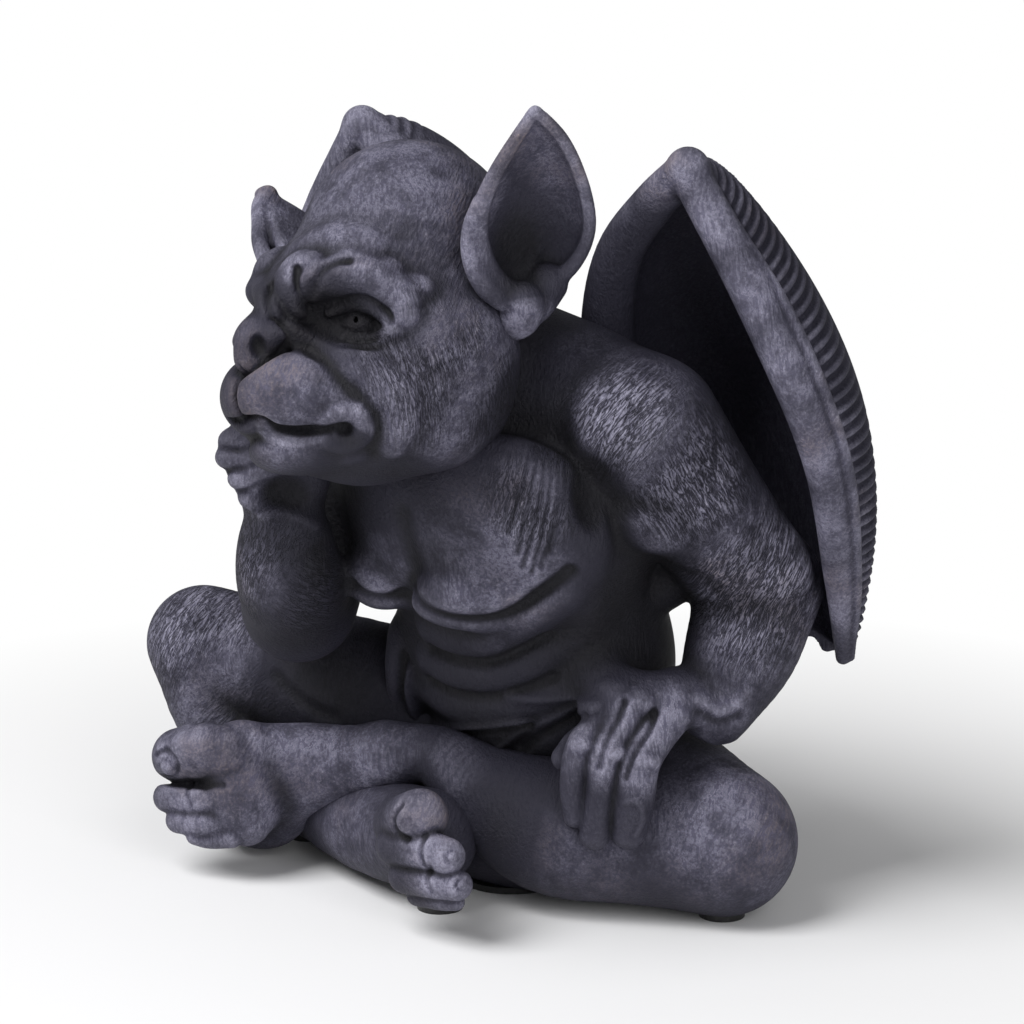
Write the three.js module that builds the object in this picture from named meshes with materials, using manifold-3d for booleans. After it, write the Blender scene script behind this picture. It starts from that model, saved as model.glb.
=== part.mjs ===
// A seated gargoyle figurine in cast stone resin, in millimetres, +Z up.
// It faces -Y, and its own left side is +X. The origin is on the ground, in the middle of the seat pad.
// The castings meet at thin glue lines, steel dowels locate them, and the figure stands on rubber pads.
import * as THREE from "three";
import { mergeVertices } from "three/addons/utils/BufferGeometryUtils.js";
import Module from "manifold-3d";

const wasm = await Module();
wasm.setup();

// Glue lines, dowels and pads
const glueLine = 0.3;
const dowelRadius = 2.5;
const dowelHalfLength = 9;
const dowelClearance = 0.3;
const padThickness = 1.6;
const padFlat = 1.2;
const seatPadRadius = 13;
const kneePadRadius = 5.5;
const footPadRadius = 5.5;

// Torso
const seatSize = at(68, 56, 40);
const seatCentre = at(0, 7, 17);
const pelvisSize = at(72, 54, 50);
const pelvisFromSeat = at(-4, 9, 9);
const waistSize = at(73, 54, 78);
const waistFromPelvis = at(6, -9, 34);
const chestSize = at(80, 58, 66);
const chestFromWaist = at(0, -12, 32);
const breastSize = at(42, 22, 34);
const breastSpread = 17.5;
const breastForward = 22;
const breastDrop = 3;
const breastTurn = 20;
const bellyRollRadius = 4.6;
const bellyRollHalfWidth = 17;
const bellyRollBow = 4;
const bellyRollsFromWaist = [at(7, -27, 6), at(7, -24.5, -3.5), at(7, -22, -12)];
const upperBackSize = at(70, 42, 38);
const upperBackFromChest = at(-2, 12, 22);
const shoulderHumpSize = at(92, 40, 36);
const shoulderHumpFromChest = at(0, 4, 32);
const neckRadius = 22;
const neckTaper = 2;
const torsoLean = 16;

// Head, in its own frame: x to its left, y to its back, z up
const headFromChest = at(-10, -26, 53);
const headTurn = 10;
const headTilt = 15;
const skullSize = at(49, 56, 50);
const skullLift = 14;
const skullBack = 4;
const foreFaceSize = at(46, 48, 40);
const foreFaceForward = 12;
const foreFaceLift = 2;
const faceSize = at(50, 50, 44);
const faceForward = 4;
const faceDrop = 6;
const cheekSize = at(30, 38, 38);
const cheekSpread = 16;
const cheekForward = 2;
const cheekDrop = 12;
const jowlSize = at(36, 44, 32);
const jowlSpread = 9;
const jowlForward = 18;
const jowlDrop = 19;
const jawSize = at(30, 36, 30);
const jawSpread = 12;
const jawForward = 4;
const jawDrop = 23;
const throatSize = at(34, 34, 26);
const throatForward = 14;
const throatDrop = 26;
const lipSize = at(17, 32, 19);
const lipSpread = 8.5;
const lipForward = 37;
const lipDrop = 14.5;
const lipTurn = 38;
const noseBridgeRadius = 7;
const noseRadius = 7;
const noseForward = 40;
const noseDrop = 3;
const noseTipSize = at(9, 10, 13);
const noseTipForward = 3;
const noseTipDrop = 3;
const bridgeForward = 28;
const bridgeLift = 5;
const socketSize = at(21, 21, 14);
const socketSpread = 19;
const socketForward = 31;
const socketDrop = 1;
const innerSocketSize = at(15, 15, 11);
const innerSocketIn = 6;
const innerSocketForward = 4;
const eyeballSize = at(10, 10, 8);
const eyeballSpread = 13;
const eyeballForward = 21.5;
const eyeballDrop = 2;
const browPath = [at(12, -30, 9.4), at(17.5, -22, 7.6), at(22, -17, 1.8)];
const browRadii = [3.6, 5.4, 4.4];
const browKnotSize = at(9, 9, 12);
const browKnotSpread = 5.5;
const browKnotForward = 30;
const browKnotLift = 9;
const lipFoldPath = [at(8, -31, -6), at(16.5, -29.5, -11.5), at(22, -25.5, -18), at(22, -23, -24.5)];
const lipFoldRadii = [3.2, 4.2, 5, 4.4];
const chinSize = at(26, 26, 13);
const chinForward = 33;
const chinDrop = 27;

// Ears: the two rims of the left one from the tip down, measured from the ear's root in the head's side
const earRootOut = 1.5;
const earRootBack = 12;
const earRootLift = 6;
const earFrontRim = [
  at(26, -5.5, 33),
  at(23, -6.5, 30),
  at(17, -9.5, 23.5),
  at(11.5, -11.5, 17),
  at(7.5, -12.5, 10.5),
  at(5.5, -11, 3),
  at(5.5, -8, -2.5),
  at(6, -2.5, -8.5),
];
const earBackRim = [
  at(28, -2.5, 33),
  at(26, -0.5, 29.5),
  at(24.5, 3.5, 24.5),
  at(22, 8, 17),
  at(20, 11, 9.5),
  at(17, 11.5, 2.5),
  at(13, 9.5, -2.5),
  at(8.5, 4, -7),
];
const earCupTurn = 52;
const earCupDepth = 11;
const earWall = 2.6;
const earRimRadius = 1.8;
const earRootSize = at(17, 17, 30);
const earLobeSize = at(11, 12, 16);
const earLobeFromRoot = at(5, -1, -13);
const rightEarShift = at(-1, -1, -4.5);

// Arms
const shoulderRadius = 17;
const upperArmRadius = 16.5;
const elbowRadius = 15;
const forearmRadius = 14;
const wristRadius = 11;
const armBow = 3;
const fingerRadius = 2.9;
const littleFingerRadius = 3.6;
const fingerLength = 32;
const palmSize = at(25, 19, 13);
const palmTilt = 12;
const palmTurn = 35;
const palmRise = 17;
const palmForward = 7;
const palmAlongShin = 0.14;
const thumbRadius = 3.6;
const thumbFromPalm = at(-16, -16, -11);
const fistSize = at(24, 22, 24);
const leftShoulderFromChest = at(39, 5, 26);
const leftElbowFromShoulder = at(13, 29, -41);
const leftWristFromPalm = at(6.5, 12, -2.5);
const rightArmSlimmer = 1.5;
const rightShoulderFromChest = at(-36, -4, 25);
const rightElbowFromShoulder = at(-8, -21, -49);
const rightWristFromFist = at(-3, 3, -10);
const fistFromHead = at(-22, -22, -40);

// Legs
const thighRadius = 20;
const leftKneeRadius = 17;
const calfRadius = 17.5;
const ankleRadius = 7.5;
const rightKneeRadius = 13.5;
const rightCalfRadius = 12;
const footHalfWidth = 14;
const footThickness = 17;
const bigToeRadius = 6.8;
const smallToeRadius = 4.2;
const hipSpread = 18;
const leftHipFromPelvis = at(0, 2, 1);
const rightHipFromPelvis = at(0, -4, 4);
const calfBow = 7;
const leftKneeOut = 56;
const leftKneeBack = 11;
const rightKneeOut = 86;
const rightKneeForward = 18;
const rightKneeLift = 48;
const rightCalfOut = 60;
const rightCalfForward = 8;
const rightShinBow = at(-5, -4, 1);
const leftAnkleOut = 8;
const leftAnkleForward = 17;
const ankleAboveFoot = 2.5;
const leftFootOut = 60;
const leftFootForward = 28;
const rightFootOut = 8;
const rightFootForward = 25;
const leftToeReach = at(-14, -2, 0);
const rightToeReach = at(8, -6, 0);
const footPadFromFoot = at(9, -3, 0);

// Wings
const wingRootFromBack = at(15, 13, -2);
const wingPeakFromRoot = at(35, -17, 68);
const wingTipFromRoot = at(55, 20, -52);
const wingSkin = 3;
const wingArmRadius = 6;
const wingRimRadius = 5.2;
const wingArmBow = 13;
const wingRimFlare = 21;
const wingRimForward = 9.5;
const wingHoodLift = 58;
const wingFrontLift = 18;
const wingBackIn = 4;
const wingRootOverlap = 6;
const wingCupDepth = 40;
const wingFlare = 13;

// Facets
const lumpSides = 12;
const limbSides = 10;

// Colours and finish
const stone = new THREE.MeshStandardMaterial({ color: 0x3c3a44, roughness: 0.72, metalness: 0 });
const steel = new THREE.MeshStandardMaterial({ color: 0xb4b6ba, roughness: 0.35, metalness: 1 });
const rubber = new THREE.MeshStandardMaterial({ color: 0x101012, roughness: 0.4, metalness: 0 });

const footing = padThickness + glueLine;
const pelvisCentre = seatCentre.clone().add(pelvisFromSeat);
const waistCentre = pelvisCentre.clone().add(waistFromPelvis);
const chestCentre = waistCentre.clone().add(chestFromWaist);
const upperBackCentre = chestCentre.clone().add(upperBackFromChest);
const shoulderHumpCentre = chestCentre.clone().add(shoulderHumpFromChest);
const headCentre = chestCentre.clone().add(headFromChest);

function at(x, y, z) {
  return new THREE.Vector3(x, y, z);
}

function mirrored(point) {
  return at(-point.x, point.y, point.z);
}

function between(a, b, share) {
  return a.clone().lerp(b, share);
}

// A closed geometry as a solid.
function solid(geometry) {
  const bare = geometry.index ? geometry.clone() : geometry;
  bare.deleteAttribute("normal");
  bare.deleteAttribute("uv");
  const merged = mergeVertices(bare, 1e-4);
  return new wasm.Manifold(
    new wasm.Mesh({
      numProp: 3,
      vertProperties: new Float32Array(merged.attributes.position.array),
      triVerts: new Uint32Array(merged.index.array),
    }),
  );
}

function join(solids) {
  return solids.reduce((whole, next) => whole.add(next));
}

function cut(body, tools) {
  return tools.reduce((rest, tool) => rest.subtract(tool), body);
}

// Turns given in degrees about x, then y, then z.
function turned(x, y, z) {
  const angles = [x, y, z].map(THREE.MathUtils.degToRad);
  return new THREE.Quaternion().setFromEuler(new THREE.Euler(...angles, "ZYX"));
}

function placed(centre, quaternion = new THREE.Quaternion()) {
  return new THREE.Matrix4().compose(centre, quaternion, at(1, 1, 1));
}

// An ellipsoid of the given overall size, grown all round.
function lump(size, centre, { turn = [0, 0, 0], grow = 0, frame = new THREE.Matrix4() } = {}) {
  const ball = new THREE.SphereGeometry(0.5, lumpSides, Math.round(lumpSides * 0.6));
  ball.scale(size.x + 2 * grow, size.y + 2 * grow, size.z + 2 * grow);
  ball.applyMatrix4(placed(centre, turned(...turn)));
  ball.applyMatrix4(frame);
  return solid(ball);
}

// A closed skin over rings of points, each ring with the same count. Each end is a fan, or on a shell,
// whose rings run out along one face and back along the other, a strip between the two faces.
function loft(rings, isShell = false) {
  const count = rings[0].length;
  const middle = (ring) => ring.reduce((sum, p) => sum.add(p), at(0, 0, 0)).divideScalar(count);
  const points = [...rings.flat(), middle(rings[0]), middle(rings.at(-1))];
  const poles = [points.length - 2, points.length - 1];
  const last = rings.length - 1;
  const faces = [];
  const corner = (ring, i) => ring * count + (i % count);
  const quad = (a, b, c, d) => faces.push(a, b, d, b, c, d);
  for (let ring = 0; ring < last; ring++) {
    for (let i = 0; i < count; i++) {
      quad(corner(ring, i), corner(ring, i + 1), corner(ring + 1, i + 1), corner(ring + 1, i));
    }
  }
  if (isShell) {
    for (let i = 0; i < count / 2 - 1; i++) {
      quad(corner(0, i + 1), corner(0, i), corner(0, count - 1 - i), corner(0, count - 2 - i));
      quad(corner(last, i), corner(last, i + 1), corner(last, count - 2 - i), corner(last, count - 1 - i));
    }
  } else {
    for (let i = 0; i < count; i++) {
      faces.push(poles[0], corner(0, i + 1), corner(0, i));
      faces.push(poles[1], corner(last, i), corner(last, i + 1));
    }
  }
  const skin = new THREE.BufferGeometry();
  skin.setAttribute("position", new THREE.Float32BufferAttribute(points.flatMap((p) => p.toArray()), 3));
  skin.setIndex(faces);
  return solid(skin);
}

// A round limb through stations of [centre, radius], with round ends.
function limb(stations, { grow = 0, sides = limbSides, steps = 2 } = {}) {
  const curve = new THREE.CatmullRomCurve3(stations.map(([centre]) => centre), false, "centripetal");
  const last = stations.length - 1;
  const spans = last * steps;
  const { normals, binormals, tangents } = curve.computeFrenetFrames(spans, false);
  const radiusAt = (i) => {
    const station = Math.min(Math.floor(i / steps), last - 1);
    const share = i / steps - station;
    return THREE.MathUtils.lerp(stations[station][1], stations[station + 1][1], share) + grow;
  };
  const ring = (centre, frame, radius) =>
    Array.from({ length: sides }, (_, k) => {
      const angle = (2 * Math.PI * k) / sides;
      return centre
        .clone()
        .addScaledVector(normals[frame], radius * Math.cos(angle))
        .addScaledVector(binormals[frame], radius * Math.sin(angle));
    });
  const cap = (i, direction) =>
    [75, 45].map((degrees) => {
      const angle = THREE.MathUtils.degToRad(degrees);
      const centre = curve.getPoint(i / spans);
      centre.addScaledVector(tangents[i], direction * radiusAt(i) * Math.sin(angle));
      return ring(centre, i, radiusAt(i) * Math.cos(angle));
    });
  const tube = Array.from({ length: spans + 1 }, (_, i) => ring(curve.getPoint(i / spans), i, radiusAt(i)));
  return loft([...cap(0, -1), ...tube, ...cap(spans, 1).reverse()]);
}

// Everything under the flat underside.
function ground(grow = 0) {
  const slab = new THREE.BoxGeometry(400, 400, 100);
  slab.translate(0, 0, footing + grow - 50);
  return solid(slab);
}

function torso(grow) {
  const lean = [torsoLean, 0, 0];
  const breast = (side) =>
    lump(
      breastSize,
      at(chestCentre.x + side * breastSpread, chestCentre.y - breastForward, chestCentre.z - breastDrop),
      { turn: [torsoLean, 0, side * breastTurn], grow },
    );
  const nape = between(upperBackCentre, headCentre, 0.65);
  const bellyRolls = bellyRollsFromWaist.map((offset) => {
    const middle = waistCentre.clone().add(offset);
    const end = (side) => middle.clone().add(at(side * bellyRollHalfWidth, bellyRollBow, bellyRollBow));
    const stations = [end(-1), middle, end(1)].map((centre) => [centre, bellyRollRadius]);
    return limb(stations, { grow, sides: 8 });
  });
  return join([
    lump(pelvisSize, pelvisCentre, { grow }),
    lump(seatSize, seatCentre, { grow }),
    lump(waistSize, waistCentre, { turn: lean, grow }),
    lump(chestSize, chestCentre, { turn: lean, grow }),
    lump(upperBackSize, upperBackCentre, { turn: lean, grow }),
    lump(shoulderHumpSize, shoulderHumpCentre, { turn: lean, grow }),
    breast(1),
    breast(-1),
    ...bellyRolls,
    limb([[upperBackCentre, neckRadius], [nape, neckRadius - neckTaper]], { grow }),
  ]);
}

const headFrame = placed(headCentre, turned(0, -headTilt, -headTurn));
const inHead = (x, y, z) => at(x, y, z).applyMatrix4(headFrame);

function head(grow) {
  const own = (size, centre, turn) => lump(size, centre, { turn, grow, frame: headFrame });
  const pair = (size, x, y, z, turn = [0, 0, 0]) =>
    [1, -1].map((side) => own(size, at(side * x, y, z), [turn[0], side * turn[1], side * turn[2]]));
  const foldPair = (path, radii) =>
    [1, -1].map((side) =>
      limb(path.map((point, i) => [inHead(side * point.x, point.y, point.z), radii[i]]), { grow, sides: 8, steps: 1 }),
    );
  const bridge = inHead(0, -bridgeForward, bridgeLift);
  const nose = inHead(0, -noseForward, -noseDrop);
  const noseTip = at(0, -noseForward - noseTipForward, -noseDrop - noseTipDrop);
  const skull = join([
    own(skullSize, at(0, skullBack, skullLift)),
    own(foreFaceSize, at(0, -foreFaceForward, foreFaceLift)),
    own(faceSize, at(0, -faceForward, -faceDrop)),
    own(throatSize, at(0, -throatForward, -throatDrop)),
    ...pair(cheekSize, cheekSpread, -cheekForward, -cheekDrop),
    ...pair(jowlSize, jowlSpread, -jowlForward, -jowlDrop),
    ...pair(jawSize, jawSpread, -jawForward, -jawDrop),
  ]);
  const innerSpread = socketSpread - innerSocketIn;
  const innerForward = socketForward + innerSocketForward;
  const sockets = [
    ...pair(socketSize, socketSpread, -socketForward, -socketDrop),
    ...pair(innerSocketSize, innerSpread, -innerForward, -socketDrop),
  ];
  return join([
    cut(skull, sockets),
    ...pair(eyeballSize, eyeballSpread, -eyeballForward, -eyeballDrop),
    ...pair(lipSize, lipSpread, -lipForward, -lipDrop, [0, 0, -lipTurn]),
    ...pair(browKnotSize, browKnotSpread, -browKnotForward, browKnotLift),
    ...foldPair(browPath, browRadii),
    ...foldPair(lipFoldPath, lipFoldRadii),
    limb([[bridge, noseBridgeRadius], [nose, noseRadius]], { grow }),
    own(noseTipSize, noseTip),
    own(chinSize, at(0, -chinForward, -chinDrop)),
  ]);
}

// A leaf-shaped cup between its two rims, with a root in the head's side and a lobe below.
function ear(side, grow) {
  const turn = THREE.MathUtils.degToRad(earCupTurn);
  const inward = at(-Math.sin(turn), Math.cos(turn), 0);
  const root = at(skullSize.x / 2 + earRootOut, earRootBack, earRootLift);
  const frame = side > 0 ? headFrame : placed(rightEarShift).multiply(headFrame);
  const onSide = (fromRoot) => at(side * (root.x + fromRoot.x), root.y + fromRoot.y, root.z + fromRoot.z);
  const onHead = (fromRoot) => onSide(fromRoot).applyMatrix4(frame);
  const half = earWall / 2 + grow;
  const points = 6;
  const last = earFrontRim.length - 1;
  const downward = earFrontRim[last].clone().sub(earFrontRim[0]).normalize();
  const ringAt = (front, i) => {
    const back = earBackRim[i];
    const cup = inward.clone().multiplyScalar(earCupDepth * Math.sin(Math.PI * (i / last) ** 1.3) ** 0.7);
    const section = new THREE.CubicBezierCurve3(front, front.clone().add(cup), back.clone().add(cup), back);
    const surface = (k, offset) => {
      const normal = section.getTangent(k / points).cross(downward).normalize();
      return onHead(section.getPoint(k / points).addScaledVector(normal, offset));
    };
    const steps = Array.from({ length: points + 1 }, (_, k) => k);
    const ring = [...steps.map((k) => surface(k, -half)), ...steps.map((k) => surface(k, half)).reverse()];
    return side > 0 ? ring.reverse() : ring;
  };
  const rim = (path) => limb(path.map((point) => [onHead(point), earRimRadius]), { grow, sides: 8, steps: 1 });
  return join([
    loft(earFrontRim.map(ringAt), true),
    rim(earFrontRim),
    rim(earBackRim),
    lump(earRootSize, onSide(at(0, 0, 0)), { grow, frame }),
    lump(earLobeSize, onSide(earLobeFromRoot), { grow, frame }),
  ]);
}

const leftKnee = at(leftKneeOut, leftKneeBack, footing + leftKneeRadius - padFlat);
const leftAnkle = at(-leftAnkleOut, -leftAnkleForward, footing + 2 * footHalfWidth + ankleAboveFoot);
const calfTop = footing + 2 * calfRadius;
const overShin = between(leftKnee, leftAnkle, palmAlongShin);
const leftPalm = at(overShin.x, overShin.y - palmForward, calfTop + palmRise);
const leftWrist = leftPalm.clone().add(leftWristFromPalm);
const fist = headCentre.clone().add(fistFromHead);
const rightWrist = fist.clone().add(rightWristFromFist);
const leftShoulder = chestCentre.clone().add(leftShoulderFromChest);
const rightShoulder = chestCentre.clone().add(rightShoulderFromChest);
const leftElbow = leftShoulder.clone().add(leftElbowFromShoulder);
const rightElbow = rightShoulder.clone().add(rightElbowFromShoulder);

// Upper arm and forearm. The upper arm is bowed by the given distance along x.
function arm(shoulder, elbow, wrist, bow, slimmer, grow) {
  const bulge = between(shoulder, elbow, 0.5).add(at(bow, 0, 0));
  const middle = between(elbow, wrist, 0.5);
  const elbowEnd = [elbow, elbowRadius - slimmer];
  return join([
    limb([[shoulder, shoulderRadius], [bulge, upperArmRadius - slimmer], elbowEnd], { grow }),
    limb([elbowEnd, [middle, forearmRadius - slimmer / 2], [wrist, wristRadius]], { grow }),
  ]);
}

function leftArm(grow) {
  const finger = (along, shorter, radius) => {
    const start = leftPalm.clone().add(at(-9 + 11 * along, -11 + 10 * along, 0.5 - 4 * along));
    const length = fingerLength - shorter;
    const bend = (x, y, z, extra) => [start.clone().add(at(x, y, z)), radius + extra];
    const stations = [
      bend(3, 6, 0, 0.8),
      bend(0, 0, 0, 0.6),
      bend(-1.5, -8.5, -9, 0.3),
      bend(-2.5, -10, -0.6 * length, 0),
      bend(-3.5, -9.5, -length, -0.4),
    ];
    return limb(stations, { grow, sides: 8, steps: 1 });
  };
  const thumbTip = leftPalm.clone().add(thumbFromPalm);
  return join([
    arm(leftShoulder, leftElbow, leftWrist, armBow, 0, grow),
    lump(palmSize, leftPalm, { turn: [0, palmTilt, palmTurn], grow }),
    finger(0, 3, fingerRadius),
    finger(0.5, 0, fingerRadius),
    finger(1, 6, littleFingerRadius),
    limb([[leftPalm, thumbRadius], [thumbTip, thumbRadius]], { grow, sides: 8 }),
  ]);
}

function rightArm(grow) {
  return join([
    arm(rightShoulder, rightElbow, rightWrist, -armBow, rightArmSlimmer, grow),
    lump(fistSize, fist, { grow }),
  ]);
}

const rightKnee = at(-rightKneeOut, -rightKneeForward, rightKneeLift);
const leftHip = pelvisCentre.clone().add(leftHipFromPelvis).add(at(hipSpread, 0, 0));
const rightHip = pelvisCentre.clone().add(rightHipFromPelvis).add(at(-hipSpread, 0, 0));
const leftFoot = at(-leftFootOut, -leftFootForward, footing + footHalfWidth);
const leftInstep = between(leftAnkle, leftFoot, 0.27).setZ(leftAnkle.z - 1);
const rightCalf = at(-rightCalfOut, -rightCalfForward, footing + rightCalfRadius - padFlat);
const rightFoot = at(-rightFootOut, -rightFootForward, footing + footHalfWidth - 1);
const rightInstep = between(rightCalf, rightFoot, 0.72).setZ(footing + 11);

function foot(heel, middle, spread, grow) {
  return join([
    limb([[heel, ankleRadius], [between(heel, middle, 0.5), ankleRadius + 2]], { grow, sides: 10 }),
    lump(at(spread, footThickness, 2 * footHalfWidth), middle, { turn: [0, 0, 6], grow }),
  ]);
}

// Toes stacked from the upper big toe down to the smallest.
function toes(root, reach, lean, grow) {
  const radii = [bigToeRadius, smallToeRadius, smallToeRadius * 0.9];
  const lifts = [0, -(bigToeRadius + smallToeRadius) * 1.02, -(bigToeRadius + 2.9 * smallToeRadius) * 1.02];
  return radii.map((radius, i) => {
    const start = at(root.x, root.y, root.z + lifts[i]);
    const end = start.clone().addScaledVector(reach, 1 - 0.12 * i).add(at(0, lean * i, 0));
    return limb([[start, radius], [end, radius * 0.95]], { grow, sides: 8, steps: 1 });
  });
}

function leftLeg(grow) {
  const shin = (share, rise, radius) => {
    const bow = at(0, -calfBow * Math.sin(Math.PI * share), 0);
    return [between(leftKnee, leftAnkle, share).setZ(footing + calfRadius + rise).add(bow), radius];
  };
  const toeRoot = leftFoot.clone().add(at(-4, -3, footHalfWidth - bigToeRadius));
  const midThigh = between(leftHip, leftKnee, 0.5);
  return join([
    limb([[leftHip, thighRadius], [midThigh, thighRadius - 1], [leftKnee, leftKneeRadius]], { grow }),
    limb(
      [
        [leftKnee, leftKneeRadius],
        shin(0.26, -0.5, calfRadius),
        shin(0.54, 0, calfRadius - 0.5),
        shin(0.78, 6, calfRadius - 5.5),
        [leftAnkle, ankleRadius],
        [leftInstep, ankleRadius],
      ],
      { grow },
    ),
    foot(leftInstep, leftFoot, 3 * footHalfWidth, grow),
    ...toes(toeRoot, leftToeReach, 0, grow),
  ]);
}

function rightLeg(grow) {
  const toeRoot = rightFoot.clone().add(at(6, -3, footHalfWidth - bigToeRadius + 2));
  return join([
    limb(
      [
        [rightHip, thighRadius],
        [between(rightHip, rightKnee, 0.42), thighRadius - 1.5],
        [between(rightHip, rightKnee, 0.78), thighRadius - 4.5],
        [rightKnee, rightKneeRadius],
      ],
      { grow },
    ),
    limb(
      [
        [rightKnee, rightKneeRadius],
        [between(rightKnee, rightCalf, 0.5).add(rightShinBow), rightCalfRadius],
        [rightCalf, rightCalfRadius],
        [rightInstep, ankleRadius + 2.5],
      ],
      { grow },
    ),
    foot(rightInstep, rightFoot, 2.4 * footHalfWidth, grow),
    ...toes(toeRoot, rightToeReach, -0.5, grow),
  ]);
}

const wingRoot = upperBackCentre.clone().add(wingRootFromBack);
const wingPeak = wingRoot.clone().add(wingPeakFromRoot);
const wingTip = wingRoot.clone().add(wingTipFromRoot);

// The wing arm bows inwards on its way from the root up to the peak.
const wingArmAt = (share) =>
  between(wingRoot, wingPeak, share).add(at(-wingArmBow * Math.sin(Math.PI * share ** 1.3), 0, 0));

// The rim flares outwards on its way from the peak down to the tip.
const wingRimAt = (share) => {
  const bow = Math.sin(Math.PI * share) ** 1.2;
  return between(wingPeak, wingTip, share).add(at(wingRimFlare, -wingRimForward, 0).multiplyScalar(bow));
};

// The inner edge of the skin follows the arm down to the root, then swings out to the tip.
const wingInnerEdgeAt = (share) => {
  const height = THREE.MathUtils.lerp(wingPeak.z, wingTip.z, share);
  if (height >= wingRoot.z) {
    const up = (height - wingRoot.z) / (wingPeak.z - wingRoot.z);
    return wingArmAt(up).add(at(0, wingRootOverlap * (1 - up), 0));
  }
  const down = (wingRoot.z - height) / (wingRoot.z - wingTip.z);
  const out = THREE.MathUtils.lerp(wingRoot.x, wingTip.x, down ** 2.2);
  return at(out, THREE.MathUtils.lerp(wingRoot.y + wingRootOverlap, wingTip.y, down), height);
};

// The thick front edge runs from the root up to the peak and down to the tip. The skin bulges back from it.
function wing(side, grow) {
  const onSide = (point) => (side > 0 ? point : mirrored(point));
  const half = wingSkin / 2 + grow;
  const points = 7;
  const ringAt = (share) => {
    const start = onSide(wingInnerEdgeAt(share));
    const end = onSide(wingRimAt(share));
    const bulge = Math.sin(Math.PI * share) ** 0.8;
    const high = (1 - share) ** 2;
    const back = at(-side * wingBackIn, wingCupDepth, wingHoodLift * high).multiplyScalar(bulge);
    const out = at(side * wingFlare, wingCupDepth - 4, wingFrontLift * high).multiplyScalar(bulge);
    const section = new THREE.CubicBezierCurve3(start, start.clone().add(back), end.clone().add(out), end);
    const surface = (i, offset) => {
      const normal = section.getTangent(i / points).cross(at(0, 0, side)).normalize();
      return section.getPoint(i / points).addScaledVector(normal, offset);
    };
    const steps = Array.from({ length: points + 1 }, (_, i) => i);
    const ring = [...steps.map((i) => surface(i, -half)), ...steps.map((i) => surface(i, half)).reverse()];
    return side > 0 ? ring : ring.reverse();
  };
  const tube = (pathAt, radius, stations) =>
    limb(stations.map(([share, taper]) => [onSide(pathAt(share)), radius * taper]), { grow, sides: 8 });
  const armTaper = [[0, 1.2], [0.38, 1.1], [0.65, 1], [0.85, 0.95], [1, 0.9]];
  const rimTaper = [[0, 1.2], [0.25, 1.15], [0.53, 1.05], [0.8, 0.85], [1, 0.4]];
  return join([
    loft([0.01, 0.06, 0.15, 0.27, 0.42, 0.58, 0.74, 0.87, 0.95].map(ringAt), true),
    tube(wingArmAt, wingArmRadius, armTaper),
    tube(wingRimAt, wingRimRadius, rimTaper),
  ]);
}

// A steel pin of the given middle and direction.
function dowel(middle, direction, grow = 0) {
  const radius = dowelRadius + grow;
  const pin = new THREE.CylinderGeometry(radius, radius, 2 * (dowelHalfLength + grow), 16);
  const upright = at(0, 1, 0);
  const facing = new THREE.Quaternion().setFromUnitVectors(upright, direction.clone().normalize());
  pin.applyMatrix4(placed(middle, facing));
  return solid(pin);
}

function pad(centre, radius) {
  const disc = new THREE.CylinderGeometry(radius, radius, padThickness, 32);
  disc.rotateX(Math.PI / 2);
  disc.translate(centre.x, centre.y, padThickness / 2);
  return solid(disc);
}

// Each dowel crosses the glue line between two castings: its middle, and the way it points.
const pinned = (from, to, share) => [between(from, to, share), to.clone().sub(from)];
const wingPin = pinned(wingArmAt(0), wingArmAt(0.38), 0.5);
const dowels = {
  neck_dowel: pinned(upperBackCentre, headCentre, 0.5),
  left_arm_dowel: [at(leftShoulder.x - 4, leftShoulder.y, leftShoulder.z), at(1, 0, 0)],
  right_arm_dowel: [at(rightShoulder.x + 4, rightShoulder.y, rightShoulder.z), at(1, 0, 0)],
  left_hip_dowel: pinned(leftHip, leftKnee, 0.4),
  right_hip_dowel: pinned(rightHip, rightKnee, 0.22),
  left_wing_dowel: wingPin,
  right_wing_dowel: wingPin.map(mirrored),
};
const sockets = Object.values(dowels).map(([middle, direction]) => dowel(middle, direction, dowelClearance));

// Each casting gives way to the ones before it.
const castings = {
  head,
  torso,
  right_leg: rightLeg,
  left_leg: leftLeg,
  left_arm: leftArm,
  right_arm: rightArm,
  left_wing: (grow) => wing(1, grow),
  right_wing: (grow) => wing(-1, grow),
  left_ear: (grow) => ear(1, grow),
  right_ear: (grow) => ear(-1, grow),
};

const group = new THREE.Group();

function add(name, body, material) {
  const mesh = body.getMesh();
  const geometry = new THREE.BufferGeometry();
  geometry.setAttribute("position", new THREE.BufferAttribute(mesh.vertProperties, 3));
  geometry.setIndex(new THREE.BufferAttribute(mesh.triVerts, 1));
  geometry.computeVertexNormals();
  const node = new THREE.Mesh(geometry, material);
  node.name = name;
  group.add(node);
}

const earlier = [];
for (const [name, casting] of Object.entries(castings)) {
  add(name, cut(casting(0), [ground(), ...earlier, ...sockets]), stone);
  earlier.push(casting(glueLine));
}
for (const [name, [middle, direction]] of Object.entries(dowels)) {
  add(name, dowel(middle, direction), steel);
}
add("seat_pad", pad(at(0, 0, 0), seatPadRadius), rubber);
add("left_knee_pad", pad(leftKnee, kneePadRadius), rubber);
add("right_foot_pad", pad(rightFoot.clone().add(footPadFromFoot), footPadRadius), rubber);
add("right_calf_pad", pad(rightCalf, footPadRadius), rubber);

export default group;
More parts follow.
